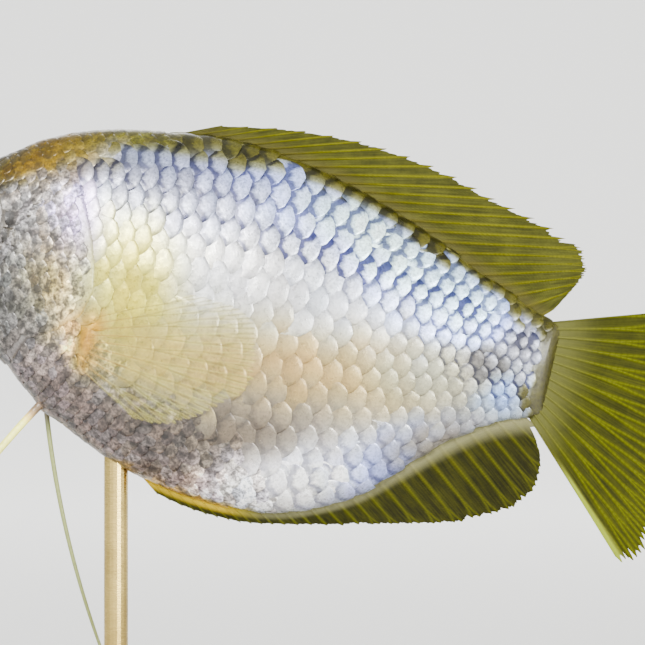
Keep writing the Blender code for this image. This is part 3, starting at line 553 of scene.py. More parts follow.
def feed(node, inputs):
    """Sets a node's inputs. A value may be a number, a colour or another node's output."""
    for key, value in inputs.items():
        if isinstance(value, bpy.types.NodeSocket):
            node.id_data.links.new(value, node.inputs[key])
        else:
            node.inputs[key].default_value = value


def finish(material, **inputs):
    shader = material.node_tree.nodes["Principled BSDF"]
    feed(shader, {key.replace("_", " "): value for key, value in inputs.items()})
    return material


def add(kind, inputs, **settings):
    """Adds a shader node to the tree of those that feed it."""
    tree = next(value.id_data for value in inputs.values() if isinstance(value, bpy.types.NodeSocket))
    made = tree.nodes.new("ShaderNode" + kind)
    for key, value in settings.items():
        setattr(made, key, value)
    feed(made, inputs)
    return made


def attribute(tree, name, output="Fac"):
    made = tree.nodes.new("ShaderNodeAttribute")
    made.attribute_name = name
    return made.outputs[output]


def place_in(tree, **mapping):
    """The place in the object's own frame, mapped where a mapping is given."""
    place = tree.nodes.new("ShaderNodeTexCoord").outputs["Object"]
    return add("Mapping", {"Vector": place, **mapping}).outputs["Vector"] if mapping else place


def noise(tree, scale, detail=3.0, rough=0.55, **mapping):
    return add("TexNoise", {"Vector": place_in(tree, **mapping), "Scale": scale, "Detail": detail,
                            "Roughness": rough}).outputs["Fac"]


def ramp(value, *stops):
    """A colour ramp from (place, grey or shader colour) stops."""
    made = add("ValToRGB", {"Fac": value})
    while len(made.color_ramp.elements) < len(stops):
        made.color_ramp.elements.new(0.5)
    for element, (place, shade) in zip(made.color_ramp.elements, stops):
        element.position = place
        element.color = (shade, shade, shade, 1.0) if isinstance(shade, float) else (*shade[:3], 1.0)
    return made.outputs["Color"]


def mix(fac, a, b, blend="MIX"):
    return add("Mix", {0: fac, 6: a, 7: b}, data_type="RGBA", blend_type=blend).outputs[2]


def shaded(colour, amount, value, *stops):
    """A colour times a ramp, as far as the amount says."""
    return mix(amount, colour, ramp(value, *stops), "MULTIPLY")


def maths(operation, a, b=0.0):
    return add("Math", {0: a, 1: b}, operation=operation).outputs[0]


def total(*terms):
    """The sum of outputs, each given alone or as a pair with a factor."""
    parts = [maths("MULTIPLY", *term) if isinstance(term, tuple) else term for term in terms]
    for part in parts[1:]:
        parts[0] = maths("ADD", parts[0], part)
    return parts[0]


def bump(height, strength, distance):
    return add("Bump", {"Height": height, "Strength": strength, "Distance": distance}).outputs["Normal"]


def scale_material(name, barred):
    """Silvery scales. lay holds how far a place is in front of its rear edge, how far behind the edges that
    cover it, both in pitches, and how wide the dark gap there is. tint's alpha is how strongly this shows."""
    material, tree = new_material(name)
    tint, contrast = attribute(tree, "tint", "Color"), attribute(tree, "tint", "Alpha")
    ahead, behind, gap = add("SeparateXYZ", {0: attribute(tree, "lay", "Vector")}).outputs
    grain = noise(tree, 2200, 4)
    if barred:
        # Partly the scales' own pigment and partly painted light: painted shade in the gaps behind the
        # covering edges, and a painted highlight that brightens the rest of each scale
        behind = maths("MINIMUM", maths("SUBTRACT", 1.0, ahead), behind)
        behind = maths("ABSOLUTE", total(behind, (maths("SUBTRACT", grain, 0.5), 0.55)))
        pattern = ramp(total(maths("SUBTRACT", behind, gap), 0.5), (0.39, 0.0), (0.50, 0.45), (0.68, 1.0))
        dark, light = GAP_SHADE, (1.15, 1.15, 1.13, 1.0)
    else:
        pattern = total((noise(tree, 1300, 3, 0.7), 0.55), (grain, 0.45), (ahead, -0.04))
        pattern = ramp(pattern, (0.40, 0.0), (0.47, 0.25), (0.53, 0.6), (0.59, 1.0))
        dark, light = FLECK_SHADE, (2.2, 2.2, 2.2, 1.0)
    colour = mix(1.0, tint, mix(contrast, (1, 1, 1, 1), mix(pattern, dark, light)), "MULTIPLY")
    colour.node.clamp_result = True
    spread = ramp(contrast, (0.1, 0.40), (0.9, 0.8))
    colour = shaded(colour, spread, noise(tree, 5200, 3), (0.36, 0.50), (0.56, 1.0))
    rings = maths("SINE", maths("MULTIPLY", ahead, 85.0))
    return finish(material, Base_Color=colour, Metallic=0.5 if barred else 0.25,
                  Coat_Weight=0.3 if barred else 0.15, Coat_Roughness=0.15,
                  Roughness=ramp(grain, (0.35, 0.42), (0.65, 0.24)),
                  Normal=bump(total((rings, 0.06), grain), 0.5, 0.00004))


def skin_material():
    material, tree = new_material("gourami_skin")
    fine, broad = noise(tree, 3800, 4), noise(tree, 900, 3)
    freckles = add("TexVoronoi", {"Vector": place_in(tree), "Scale": 4200.0}).outputs["Distance"]
    colour = attribute(tree, "tint", "Color")
    colour = shaded(colour, 0.75, fine, (0.32, (0.45, 0.42, 0.40)), (0.60, 1.0))
    colour = shaded(colour, 0.6, broad, (0.35, (0.55, 0.52, 0.54)), (0.62, 1.1))
    spot = ramp(freckles, (0.16, 0.0), (0.30, 1.0))
    spot = mix(ramp(broad, (0.40, 0.85), (0.60, 0.25)), (1, 1, 1, 1), spot)
    return finish(material, Base_Color=mix(0.8, colour, spot, "MULTIPLY"), Metallic=0.25, Coat_Weight=0.35,
                  Coat_Roughness=0.15, Roughness=ramp(fine, (0.3, 0.52), (0.7, 0.34)),
                  Normal=bump(total(fine, (broad, 1.5)), 0.5, 0.00008))


def fin_material(name):
    """Membrane and rays. ray is how far a place belongs to a ray, and fan the ray's number and how far out
    along it a place is."""
    web, rays, solid, foot = FIN_LOOKS[name]
    material, tree = new_material(name)
    ray, fan = attribute(tree, "ray"), attribute(tree, "fan", "Vector")
    out = add("SeparateXYZ", {0: fan}).outputs["Y"]
    along = add("Mapping", {"Vector": fan, "Scale": (9.0, 2.2, 1.0)}).outputs[0]
    streak = add("TexNoise", {"Vector": along, "Scale": 1.0, "Detail": 3.0}).outputs["Fac"]
    membrane = mix(ramp(streak, (0.38, 0.0), (0.62, 1.0)), rgba(web[0]), rgba(web[1]))
    membrane = shaded(membrane, 0.7, noise(tree, 500, 4), (0.34, 0.55), (0.62, 1.15))
    joints = maths("SINE", maths("MULTIPLY", out, 190.0))
    bone = mix(ramp(joints, (0.2, 0.0), (0.9, 0.45)), rgba(rays[0]), rgba(rays[1]))
    bone = mix(ramp(out, (0.0, 1.0), (0.45, 0.0)), bone, rgba(foot))
    colour = shaded(mix(ray, membrane, bone), 0.5, noise(tree, 5200, 3), (0.3, 0.66), (0.6, 1.0))
    colour = mix(attribute(tree, "tint", "Alpha"), colour, attribute(tree, "tint", "Color"))
    return finish(material, Base_Color=colour, Roughness=0.6, Specular_IOR_Level=0.05,
                  Alpha=ramp(ray, (0.05, solid[0]), (0.7, solid[1])),
                  Normal=bump(total((joints, 0.3), streak), 0.4, 0.00005))


def thread_material():
    material, tree = new_material("gourami_thread")
    out = attribute(tree, "out")
    colour = mix(out, attribute(tree, "tint", "Color"), rgba(THREAD_END))
    colour = shaded(colour, 0.6, noise(tree, 2500, 3), (0.3, 0.72), (0.6, 1.0))
    return finish(material, Base_Color=colour, Roughness=0.35, Coat_Weight=0.3,
                  Normal=bump(maths("SINE", maths("MULTIPLY", out, 420.0)), 0.25, 0.00003))


def eye_material():
    """gaze is how far from the pupil's middle a place is, and up how far above it."""
    material, tree = new_material("gourami_eye")
    gaze, fibres_and_glints = attribute(tree, "gaze"), noise(tree, 2400, 5, 0.65)
    wander = maths("MULTIPLY", maths("SUBTRACT", fibres_and_glints, 0.5), 0.22)
    in_iris = maths("GREATER_THAN", gaze, 0.46)
    radius = total(gaze, mix(in_iris, maths("MULTIPLY", wander, 0.12), wander))
    # The noise darkens and lightens the iris in flecks: its own fibres, and painted glints where it lightens
    colour = shaded(ramp(radius, *((place, rgba(shade)) for place, shade in IRIS)), 0.9, fibres_and_glints,
                    (0.36, 0.45), (0.60, 1.25))
    colour = shaded(colour, 1.0, total((attribute(tree, "up"), 0.5), 0.5), (0.55, 1.0), (0.85, 0.35))
    return finish(material, Base_Color=colour, Roughness=0.4, Specular_IOR_Level=0.0, Coat_Weight=0.6,
                  Coat_Roughness=0.02)


def wood_material():
    material, tree = new_material("stand_wood_grain")
    heart = place_in(tree, Location=(0.0, 0.013, 0.034), Scale=(0.08, 1.0, 1.0))
    years = add("TexWave", {"Vector": heart, "Scale": 210.0, "Distortion": 3.2, "Detail": 4.0,
                            "Detail Scale": 0.7}, wave_type="RINGS", rings_direction="X").outputs["Fac"]
    lines = noise(tree, 260, 5, 0.6, Scale=(0.2, 6.0, 6.0))
    pores = noise(tree, 5200, 2, Scale=(0.05, 1.0, 1.0))
    colour = ramp(total((years, 0.16), (lines, 0.45), 0.345), *WOOD)
    return finish(material, Base_Color=shaded(colour, 0.8, pores, (0.36, 0.35), (0.46, 1.0)),
                  Coat_Weight=0.2, Coat_Roughness=0.25, Specular_IOR_Level=0.3,
                  Roughness=ramp(lines, (0.3, 0.55), (0.7, 0.38)), Normal=bump(pores, 0.25, 0.0001))


def brass_material():
    material, tree = new_material("stand_brushed_brass")
    brushed = noise(tree, 900, 3, Scale=(1.0, 1.0, 12.0))
    return finish(material, Base_Color=ramp(noise(tree, 140, 4), *BRASS), Metallic=1.0,
                  Roughness=ramp(brushed, (0.3, 0.20), (0.7, 0.36)), Normal=bump(brushed, 0.06, 0.0001))


# Skin

def skin(material):
    """One skin over head, gill covers, torso and tail, with the relief of the face and gill covers."""
    head = FINE_UNTIL * STANDARD_LENGTH * (np.arange(1, FINE_ROWS + 1) / FINE_ROWS) ** 1.35
    trunk = np.linspace(FINE_UNTIL * STANDARD_LENGTH, STANDARD_LENGTH, TRUNK_ROWS + 1)[1:]
    root = STANDARD_LENGTH + TAIL_ROOT * np.array([0.25, 0.5, 0.7, 0.85, 0.95, 1.0])
    x = np.concatenate([head, trunk, root])
    grid = body_point(x[:, None], circle(SKIN_SIDES)[None, :], SKIN_DEPTH)
    tint = paint(grid[..., 0], grid[..., 2]).reshape(-1, 3)
    tint = np.concatenate([tint, tint[:1], tint[-1:]])
    points, _normals = dressed(grid, wrap=True)
    tips = np.array([points[0].mean(axis=0), points[-1].mean(axis=0)])
    points = np.concatenate([points.reshape(-1, 3), tips])
    faces = ring_faces(len(x), SKIN_SIDES, (len(points) - 2, len(points) - 1))
    new_piece("skin", world(points), faces, material, "silver_flesh",
              ("head", "gill_cover_left", "gill_cover_right", "torso", "tail"), sharp=75,
              tint=with_alpha(tint))


# Scales

class Surface:
    """The skin of the left side as a table: distance from the snout, and distance up from the side line."""

    def __init__(self, covered):
        self.step, self.reach = 0.1 * MM, 25 * MM
        self.x = np.arange(0.5 * MM, STANDARD_LENGTH + 0.8 * TAIL_ROOT, self.step)
        self.s = np.arange(-self.reach, self.reach, self.step)
        turns = np.radians(np.arange(-200.0, 200.5, 0.5))
        ring = body_point(self.x[:, None], turns[None, :], SKIN_DEPTH)
        run = np.cumsum(np.linalg.norm(np.diff(ring, axis=1), axis=-1), axis=1)
        _width, level, rise, drop = section(self.x, SKIN_DEPTH)
        up = side_line(self.x / STANDARD_LENGTH) - level
        start = np.arcsin(np.clip(up / np.where(up > 0, rise, drop), -0.95, 0.95))
        rows, ends = [], []
        for x, begins, length in zip(self.x, start, run):
            length = np.concatenate([[0.0], length])
            length = length - np.interp(begins, turns, length)
            rows.append(body_point(x, np.interp(self.s, length, turns), SKIN_DEPTH))
            ends.append([np.interp(turn, turns, length) for turn in (math.pi / 2, -math.pi / 2)])
        self.flat = np.array(rows)
        self.top, self.bottom = np.transpose(ends)
        self.points, self.normals = dressed(self.flat, covered=covered)

    def look_up(self, table, x, s):
        i = np.clip((x - self.x[0]) / self.step, 0, len(self.x) - 1.001)
        j = np.clip((s - self.s[0]) / self.step, 0, len(self.s) - 1.001)
        i0, j0 = i.astype(int), j.astype(int)
        a, b = (i - i0)[..., None], (j - j0)[..., None]
        return ((table[i0, j0] * (1 - a) + table[i0 + 1, j0] * a) * (1 - b)
                + (table[i0, j0 + 1] * (1 - a) + table[i0 + 1, j0 + 1] * a) * b)


def scale_form(rows=(0, 0.03, 0.10, 0.22, 0.38, 0.6, 1.0), across=11):
    """One scale's points (v, w) in pitches and half heights, which of them lie below, and its faces."""
    w = np.sin(np.linspace(-1, 1, across) * math.pi / 2) * 0.995
    places = [(v, one) for v in (*rows, rows[0], rows[-1]) for one in w]
    last, rear, front = (len(rows) - 1) * across, len(rows) * across, (len(rows) + 1) * across
    faces = [(a, a + 1, a + 1 + across, a + across)
             for start in range(0, last, across) for a in range(start, start + across - 1)]
    for j in range(across - 1):
        faces.append((rear + j, front + j, front + j + 1, rear + j + 1))
        faces.append((j, rear + j, rear + j + 1, j + 1))
        faces.append((last + j, last + j + 1, front + j + 1, front + j))
    for j in (0, across - 1):
        fan = [(rear + j, start + j, start + across + j) for start in range(0, last, across)]
        fan.append((rear + j, last + j, front + j))
        faces += fan if j == 0 else [face[::-1] for face in fan]
    return np.array(places), np.arange(len(places)) >= rear, faces


FORM, UNDER, FORM_FACES = scale_form()


class Roots:
    """The scales of a region: the middle of each one's rear edge on the surface, its slope, and its size."""

    def __init__(self, surface, chosen, pitch_scale=1.0, row_scale=1.0):
        x, s, slope = rows_of_scales(surface, pitch_scale, row_scale)
        flat = surface.look_up(surface.flat, x, s)
        keep = chosen(x, flat[:, 2], flat[:, 0] / STANDARD_LENGTH, flat[:, 2] / STANDARD_LENGTH)
        self.surface, self.flat = surface, flat[keep]
        self.x, self.s, self.slope = x[keep], s[keep], slope[keep]
        self.pitch = pitch_scale * scale_pitch(self.flat[:, 0] / STANDARD_LENGTH)
        self.spacing = row_scale * row_spacing(self.flat[:, 0] / STANDARD_LENGTH)


def lay_scales(name, roots, side, contrast, gap, material, lift=1.0, uneven=0.16, tilt=0.0):
    """Lays one curved plate for each root."""
    surface, pitch, spacing = roots.surface, roots.pitch[:, None], roots.spacing[:, None]
    v, w = FORM[None, :, 0], FORM[None, :, 1]
    count, size = len(roots.x), len(FORM)
    # Outlines: bowed and a little wavy at the rear, none quite alike
    half = HALF_SCALE * spacing * (1 + 0.06 * rng.standard_normal((count, 1)))
    bow = np.sqrt(np.maximum(1 - w * w, 0.0))
    ripple = 0.035 * np.sin(w * 9 + rng.uniform(0, 6.28, (count, 1)))
    rear = pitch * (EDGE_BOW * (bow - 1) + ripple * bow)
    front = -pitch * (2.0 + 0.25 * (bow - 1))
    along, across = rear + (front - rear) * v, half * w
    turn = (roots.slope + tilt)[:, None] + 0.05 * rng.standard_normal((count, 1))
    at_x = roots.x[:, None] + along * np.cos(turn) - across * np.sin(turn)
    at_s = roots.s[:, None] + along * np.sin(turn) + across * np.cos(turn)

    # Heights: rising to the rear, domed and tilted, and thinner at the rim
    rise = lift * SCALE_LIFT * (1 + 0.10 * rng.standard_normal((count, 1)))
    ahead = (rear - along) / pitch
    height = rise * (1 + along / (2.0 * pitch)) + CLEAR
    height = height - 0.16 * rise * w * w + 0.22 * rise * np.sin(np.clip(ahead, 0, 1) * math.pi)
    height = height + 0.14 * rise * rng.standard_normal((count, 1)) * w * (1 - 0.3 * w * w)
    edge = (v <= 0.0) | (np.abs(w) > 0.99)
    height = height - SCALE_THICK * np.where(UNDER, 1.0, 0.45 * edge)
    points = surface.look_up(surface.points, at_x, at_s)
    points = points + surface.look_up(surface.normals, at_x, at_s) * height[..., None]
    points[..., 1] *= -side

    # Looks: the markings at a place a little off, and how far each point is from the gaps around it
    stray_x, stray_s = 0.30 * pitch * rng.standard_normal((2, count, 1))
    flat = surface.look_up(surface.flat, at_x + stray_x, at_s + stray_s)
    beside = np.sqrt(np.maximum(1 - (1 / HALF_SCALE - np.abs(w)) ** 2, 0.0))
    cover = 0.5 + EDGE_BOW * (1 - beside) + along / pitch
    gap = np.broadcast_to(gap, count)[:, None] * rng.uniform(0.7, 1.3, (count, 1))
    tint = linear(paint(flat[..., 0], flat[..., 2]))
    tint = tint * (1 + uneven * rng.uniform(-1.0, 0.35, (count, 1, 1)))
    hue = np.array(PLATE_HUES)[rng.integers(0, len(PLATE_HUES), count)][:, None, :]
    tint = np.clip(tint * (1 + 1.6 * uneven * (hue - 1)), 0, 1)
    contrast = np.broadcast_to(np.reshape(contrast, (-1, 1, 1)), (count, size, 1))
    colour = np.concatenate([tint, contrast], axis=-1)
    lay = np.stack([ahead, cover, np.broadcast_to(gap, ahead.shape)], -1)
    faces = [tuple(k * size + c for c in face) for k in range(count) for face in FORM_FACES]
    piece = new_piece(name, world(points.reshape(-1, 3)), faces, material, "silver_flesh", sharp=55,
                      tint=colour.reshape(-1, 4), lay=lay.reshape(-1, 3))

    # Each scale keeps a small square of the map, at its root, with the right side beside the left one
    root_u = 0.01 + 0.48 * roots.x / (STANDARD_LENGTH + TAIL_ROOT) + (0.5 if side > 0 else 0.0)
    root_v = 0.02 + 0.96 * (roots.s + surface.reach) / (2 * surface.reach)
    uv = np.stack([root_u[:, None] + UV_HALF * (1 - 2 * v), root_v[:, None] + UV_HALF * w], -1).reshape(-1, 2)
    corners = np.empty(len(piece.data.loops), np.int32)
    piece.data.loops.foreach_get("vertex_index", corners)
    piece.data.uv_layers.new(name="OFBake").uv.foreach_set("vector", uv[corners].astype(np.float32).ravel())


def rows_of_scales(surface, pitch_scale, row_scale):
    """Roots in rows that run tailwards, each shifted by half a pitch from the next."""
    xs = np.linspace(0.08, 1.02, 2000) * STANDARD_LENGTH
    pitches = pitch_scale * scale_pitch(xs[1:] / STANDARD_LENGTH)
    count = np.concatenate([[0], np.cumsum(np.diff(xs) / pitches)])
    step = 0.5 * MM
    rows = []
    for k in range(-30, 31):
        x = np.interp(np.arange(0.5 * (k % 2), count[-1], 1.0), count, xs)
        before, here, after = (row_spacing((x + way) / STANDARD_LENGTH) for way in (-step, 0.0, step))
        rows.append((x, k * (row_scale * here), np.arctan(k * row_scale * (after - before) / (2 * step))))
    x, s, slope = (np.concatenate(part) for part in zip(*rows))
    near = 0.30 * row_scale * row_spacing(x / STANDARD_LENGTH)
    keep = s < np.interp(x, surface.x, surface.top) - near
    keep &= s > np.interp(x, surface.x, surface.bottom) + near
    return x[keep], s[keep], slope[keep]


def small_reach(share):
    """How far down from the nape and back the scales are small, in shares. It ends at the dorsal fin."""
    return 0.050 * ease(share, 0.50, 0.30)


def small_field(x, z):
    share, _height, under_back, _over_belly = in_shares(x, z)
    return under_back < small_reach(share)


def bar_contrast(x, z):
    """How strongly the gaps stand out, and how wide they are: most on the upper flank and the tail."""
    x, z, under_back, _over_belly = in_shares(x, z)
    aft = ease(x, 0.48, 0.58)
    fades = np.interp(x, *zip(*GAPS_FADE))
    contrast = 0.20 + (0.75 - 0.03 * aft) * ease(z, fades - 0.020, fades + 0.025)
    for amount, at, size, lean in GAP_PATCHES:
        contrast += amount * patch(x, z, at, size, lean)
    contrast -= 0.28 * ease(x, 0.90, 0.95) * ease(z, -0.01, 0.02)
    contrast -= 0.20 * ridge(under_back, 0, 0.025)
    small = small_reach(x) + 0.005
    contrast -= 0.15 * ease(under_back, small + 0.025, small) * ease(x, 0.52, 0.47)
    pores = ridge(z, np.interp(x, *zip(*PORE_ROW)), 0.010) * ease(x, 0.58, 0.63)
    gap = 0.19 + (0.18 - 0.04 * aft) * ridge(under_back, 0, 0.050) + 0.14 * pores
    return np.clip(contrast + 0.3 * pores, 0.15, 1.0), gap


def on_flank(x, z, share, height):
    pad = np.hypot((share - 0.345) / 0.9, height + 0.111) < 0.046
    above = height >= np.interp(share, *zip(*SMALL_SCALES_TO)) - 0.012
    before_tail = share < 0.996 + 2.0 * height**2
    return (gill_ahead(x, z) < -0.30 * MM) & above & ~pad & before_tail & ~small_field(x, z)


def on_breast(x, z, share, height):
    pad = np.hypot((share - 0.352) / 0.6, height + 0.111) < 0.038
    return (height < np.interp(share, *zip(*SMALL_SCALES_TO))) & ~pad & (gill_ahead(x, z) < -0.5 * MM)


def on_head(x, z, share, height):
    """Face and gill cover apart from the eye and snout, the nape, and the small scales along the back."""
    ahead = gill_ahead(x, z)
    from_eye = np.minimum.reduce([np.hypot(share - back - EYE_CENTRE[0], height - EYE_CENTRE[1])
                                  for back in (0.0, 0.012, 0.024)])
    face = (ahead > 0.12 * MM) & (height < 0.16) & (share > 0.10) & (from_eye > 0.066)
    nape = (ahead <= 0.9 * MM) | (height >= 0.15)
    nape &= (share > 0.10) & (height > 0.10) & (ahead > -1.2 * MM)
    back = (ahead <= -0.6 * MM) & small_field(x - 0.4 * MM, z)
    return (face | nape | back) & (height > belly_at(share) / STANDARD_LENGTH + 0.003)


def scales(silver, flecked):
    """Large scales on the flank, and smaller ones on breast, belly and head, on both sides."""
    flank = Roots(Surface(covered=False), on_flank)
    breast = Roots(flank.surface, on_breast, *SMALLER_BREAST)
    head = Roots(Surface(covered=True), on_head, *SMALLER_HEAD)
    contrast, gap = bar_contrast(flank.x, flank.flat[:, 2])
    _x, _z, under_back, _over_belly = in_shares(head.flat[:, 0], head.flat[:, 2])
    head_contrast = 0.9 - 0.4 * ease(under_back, 0.075, 0.045)
    for side, word in SIDES:
        lay_scales("scales_flank_" + word, flank, side, contrast, gap, silver)
        lay_scales("scales_breast_" + word, breast, side, 0.8, 0.3, flecked, 0.75, 0.60, -0.25)
        lay_scales("scales_head_" + word, head, side, head_contrast, 0.3, flecked, 0.40, 0.45,
                   0.1 * rng.standard_normal(len(head.x)))


# Fins

def fin(name, base, lean, reach, rays, place, material, replaces, tint, spines=0, per_ray=12, rows=44,
        crest=(0.42, 0.12), web=(0.16, 0.05), notch=0.03, wave=0.12, fork=(0.70, 1.15)):
    """A fan of round rays in a thin membrane. Soft rays split twice on their way to the edge. crest and web
    are their thickness in millimetres at foot and edge, notch how deep the edge dips between the rays."""
    share = np.linspace(0, 1, (rays - 1) * per_ray + 1)[:, None]
    out = np.linspace(0, 1, rows + 1)[None, :]
    phase = share * (rays - 1)
    ray = np.rint(phase)
    soft = ray >= spines
    first = 0.25 * ease(out, *fork) * soft
    second = 0.12 * ease(out, fork[0] + 0.36, fork[0] + 0.61) * soft
    nearest = np.minimum.reduce([np.abs(phase - ray - a * first - b * second)
                                 for a in (-1, 1) for b in (-1, 1)])
    raised = ridge(nearest, 0, 0.13 - 0.07 * ease(out, 0, 1) * (0.4 + 0.6 * soft))
    jitter = 1 + 0.012 * rng.standard_normal(rays)[ray.astype(int)]
    fine = 0.010 * rng.standard_normal((len(share), 1))
    cut = (np.where(soft, notch, 0.075) - fine) * (1 - raised[:, -1:])
    way = np.radians(lean(share))
    long = reach(share) * jitter * (1 - cut * ease(out, 0.6, 1.0)) * out
    flat = np.stack(base(share), -1) + np.stack([long * np.cos(way), long * np.sin(way)], -1)
    thick, top = (ends[0] + (ends[1] - ends[0]) * out for ends in (web, crest))
    thick = MM * (thick + (top - thick) * raised) * np.where(out > 0.995, 0.4, 1.0)
    drift = wave * MM * np.sin(3.1 * phase / 4 + 2.2 * out) * out**1.5
    sheets = [place(flat, drift + half * thick, share).reshape(-1, 3) for half in (0.5, -0.5)]

    shape, shift = raised.shape, raised.size
    index = np.arange(shift).reshape(shape)
    quads = np.stack([index[:-1, :-1], index[1:, :-1], index[1:, 1:], index[:-1, 1:]], -1).reshape(-1, 4)
    both = np.stack([quads, quads[:, [0, 3, 2, 1]] + shift], 1).reshape(-1, 4)
    rim = np.array([*index[:, 0], *index[-1, 1:], *index[-2::-1, -1], *index[0, -2:0:-1]])
    after = np.roll(rim, -1)
    walls = np.stack([after, rim, rim + shift, after + shift], -1)
    tinted, amount = tint(flat[..., 0], flat[..., 1], share, out)
    colour = np.zeros((*shape, 4))
    colour[..., :3], colour[..., 3] = linear(tinted), amount
    fan = np.stack([np.broadcast_to(phase, shape), np.broadcast_to(out, shape), np.zeros(shape)], -1)
    new_piece(name, world(np.concatenate(sheets)), np.concatenate([both, walls]).tolist(), material,
              "fin_membrane", replaces, sharp=70, ray=np.tile(raised.ravel(), 2),
              fan=np.tile(fan.reshape(-1, 3), (2, 1)), tint=np.tile(colour.reshape(-1, 4), (2, 1)))


def median(flat, off, _share):
    """Places of a fin in the fish's middle plane."""
    return np.stack([flat[..., 0], off, flat[..., 1]], -1)


def to_edge(base, lean, edge):
    """The reach of each ray from the base out to where it meets the fin's edge, a smooth line."""
    knots = np.array([edge[0], *edge, edge[-1]], float)
    t = (np.arange(6) / 6)[:, None]
    fine = [(2 * b + (c - a) * t + (2 * a - 5 * b + 4 * c - d) * t**2 + (3 * b - a - 3 * c + d) * t**3) / 2
            for a, b, c, d in zip(knots, knots[1:], knots[2:], knots[3:])]
    outline = np.concatenate([*fine, knots[-1:]]) * STANDARD_LENGTH
    side = np.diff(outline, axis=0)

    def reach(share):
        found = []
        for one in share.ravel():
            a = outline[:-1] - np.array(base(one))
            way = math.radians(lean(one))
            along = (math.cos(way), math.sin(way))
            turn = along[0] * side[:, 1] - along[1] * side[:, 0]
            far = (a[:, 0] * side[:, 1] - a[:, 1] * side[:, 0]) / turn
            on = (a[:, 0] * along[1] - a[:, 1] * along[0]) / turn
            hits = far[(far > 0) & (on >= 0) & (on <= 1)]
            found.append(hits.min() if len(hits) else found[-1])
        return np.reshape(found, share.shape)

    return reach


def foot_on(span, edge_at, off):
    """Places from one end of a fin's foot to the other, a little inside the body's edge."""
    def base(share):
        x = (span[0] + (span[1] - span[0]) * share) * STANDARD_LENGTH
        return x, edge_at(x / STANDARD_LENGTH) + off

    return base


def median_fins(dorsal_web, anal_web):
    def dorsal_tint(x, z, _share, _out):
        _x, _z, under_back, _over_belly = in_shares(x, z)
        return DORSAL_FOOT, 0.35 * ease(under_back, -0.022, 0)

    def anal_tint(x, z, _share, _out):
        x, z, _under_back, over_belly = in_shares(x, z)
        colour = blend(ANAL_FOOT, ANAL_FRONT, ease(x, 0.66, 0.58))
        return colour, 0.85 * ease(over_belly, -0.012 - 0.020 * ease(x, 0.7, 0.9), 0)

    base, lean = foot_on(DORSAL_BASE, back_at, -RAYS_INSIDE), through(DORSAL_LEAN)
    fin("dorsal_fin_rays", base, lean, to_edge(base, lean, DORSAL_EDGE), DORSAL_SPINES + DORSAL_SOFT, median,
        dorsal_web, ("dorsal_fin",), dorsal_tint, DORSAL_SPINES)
    base, lean = foot_on(ANAL_BASE, belly_at, RAYS_INSIDE), through(ANAL_LEAN)
    fin("anal_fin_rays", base, lean, to_edge(base, lean, ANAL_EDGE), ANAL_SPINES + ANAL_SOFT, median,
        anal_web, ("anal_fin",), anal_tint, ANAL_SPINES)


def caudal_fin(material):
    top, bottom = 0.93 * float(back_at(1.0)), 0.93 * float(belly_at(1.0))

    def base(share):
        return STANDARD_LENGTH - 0.2 * MM + 0 * share, top + (bottom - top) * share

    def reach(share):
        return through(CAUDAL_REACH, MM)(share) + 0.5 * MM

    def tint(_x, _z, share, out):
        edge = 0.8 * ease(share, 0.965, 0.985) * ease(out, 0.2, 0.5)
        return blend(CAUDAL_FOOT, CAUDAL_LOW_EDGE, edge), np.maximum(0.62 * ease(out, 0.35, 0.05), edge)

    fin("caudal_fin_rays", base, through(CAUDAL_LEAN), reach, CAUDAL_RAYS, median, material, ("caudal_fin",),
        tint, per_ray=20, rows=52, notch=0.045, wave=0.20, fork=(0.30, 0.70))


def pectoral_fin(side, word, material):
    x0, high, low = (share * STANDARD_LENGTH for share in PECTORAL_BASE)
    turn_length = PECTORAL_TURN * (math.pi / 2 - PECTORAL_FLARE)

    def base(share):
        return 0 * share, high + (low - high) * share

    def place(flat, off, share):
        """Turns the flat fan out of the flank and back along it."""
        bend = np.minimum(flat[..., 0], turn_length) / PECTORAL_TURN
        past = np.maximum(flat[..., 0] - turn_length, 0.0)
        back = PECTORAL_TURN * (1 - np.cos(bend)) + past * np.sin(bend)
        out = PECTORAL_TURN * np.sin(bend) + past * np.cos(bend)
        foot = flank_at(x0, base(share)[1])
        return np.stack([x0 + back - off * np.cos(bend), side * (foot + out + off * np.sin(bend)),
                         flat[..., 1]], -1)

    def tint(_x, _z, _share, out):
        return PECTORAL_FOOT, 0.9 * ease(out, 0.14, 0.04)

    fin("pectoral_rays_" + word, base, through(PECTORAL_LEAN), through(PECTORAL_REACH, MM), PECTORAL_RAYS,
        place, material, ("pectoral_fin_" + word,), tint, per_ray=14, rows=48, crest=(0.30, 0.09),
        web=(0.12, 0.04), wave=0.10, fork=(0.35, 0.70))


def tube(path, radii, sides):
    """Points and faces of a closed round bar along a path."""
    ahead = np.gradient(path, axis=0)
    ahead /= np.linalg.norm(ahead, axis=1, keepdims=True)
    side = np.cross(ahead, [0.0, 1.0, 0.0])
    side /= np.linalg.norm(side, axis=1, keepdims=True)
    turn = circle(sides)[None, :, None]
    ring = np.cos(turn) * side[:, None, :] + np.sin(turn) * np.cross(ahead, side)[:, None, :]
    points = (path[:, None, :] + radii[:, None, None] * ring).reshape(-1, 3)
    ends = [tuple(range(sides))[::-1], tuple(range(len(points) - sides, len(points)))]
    return points, ring_faces(len(path), sides) + ends


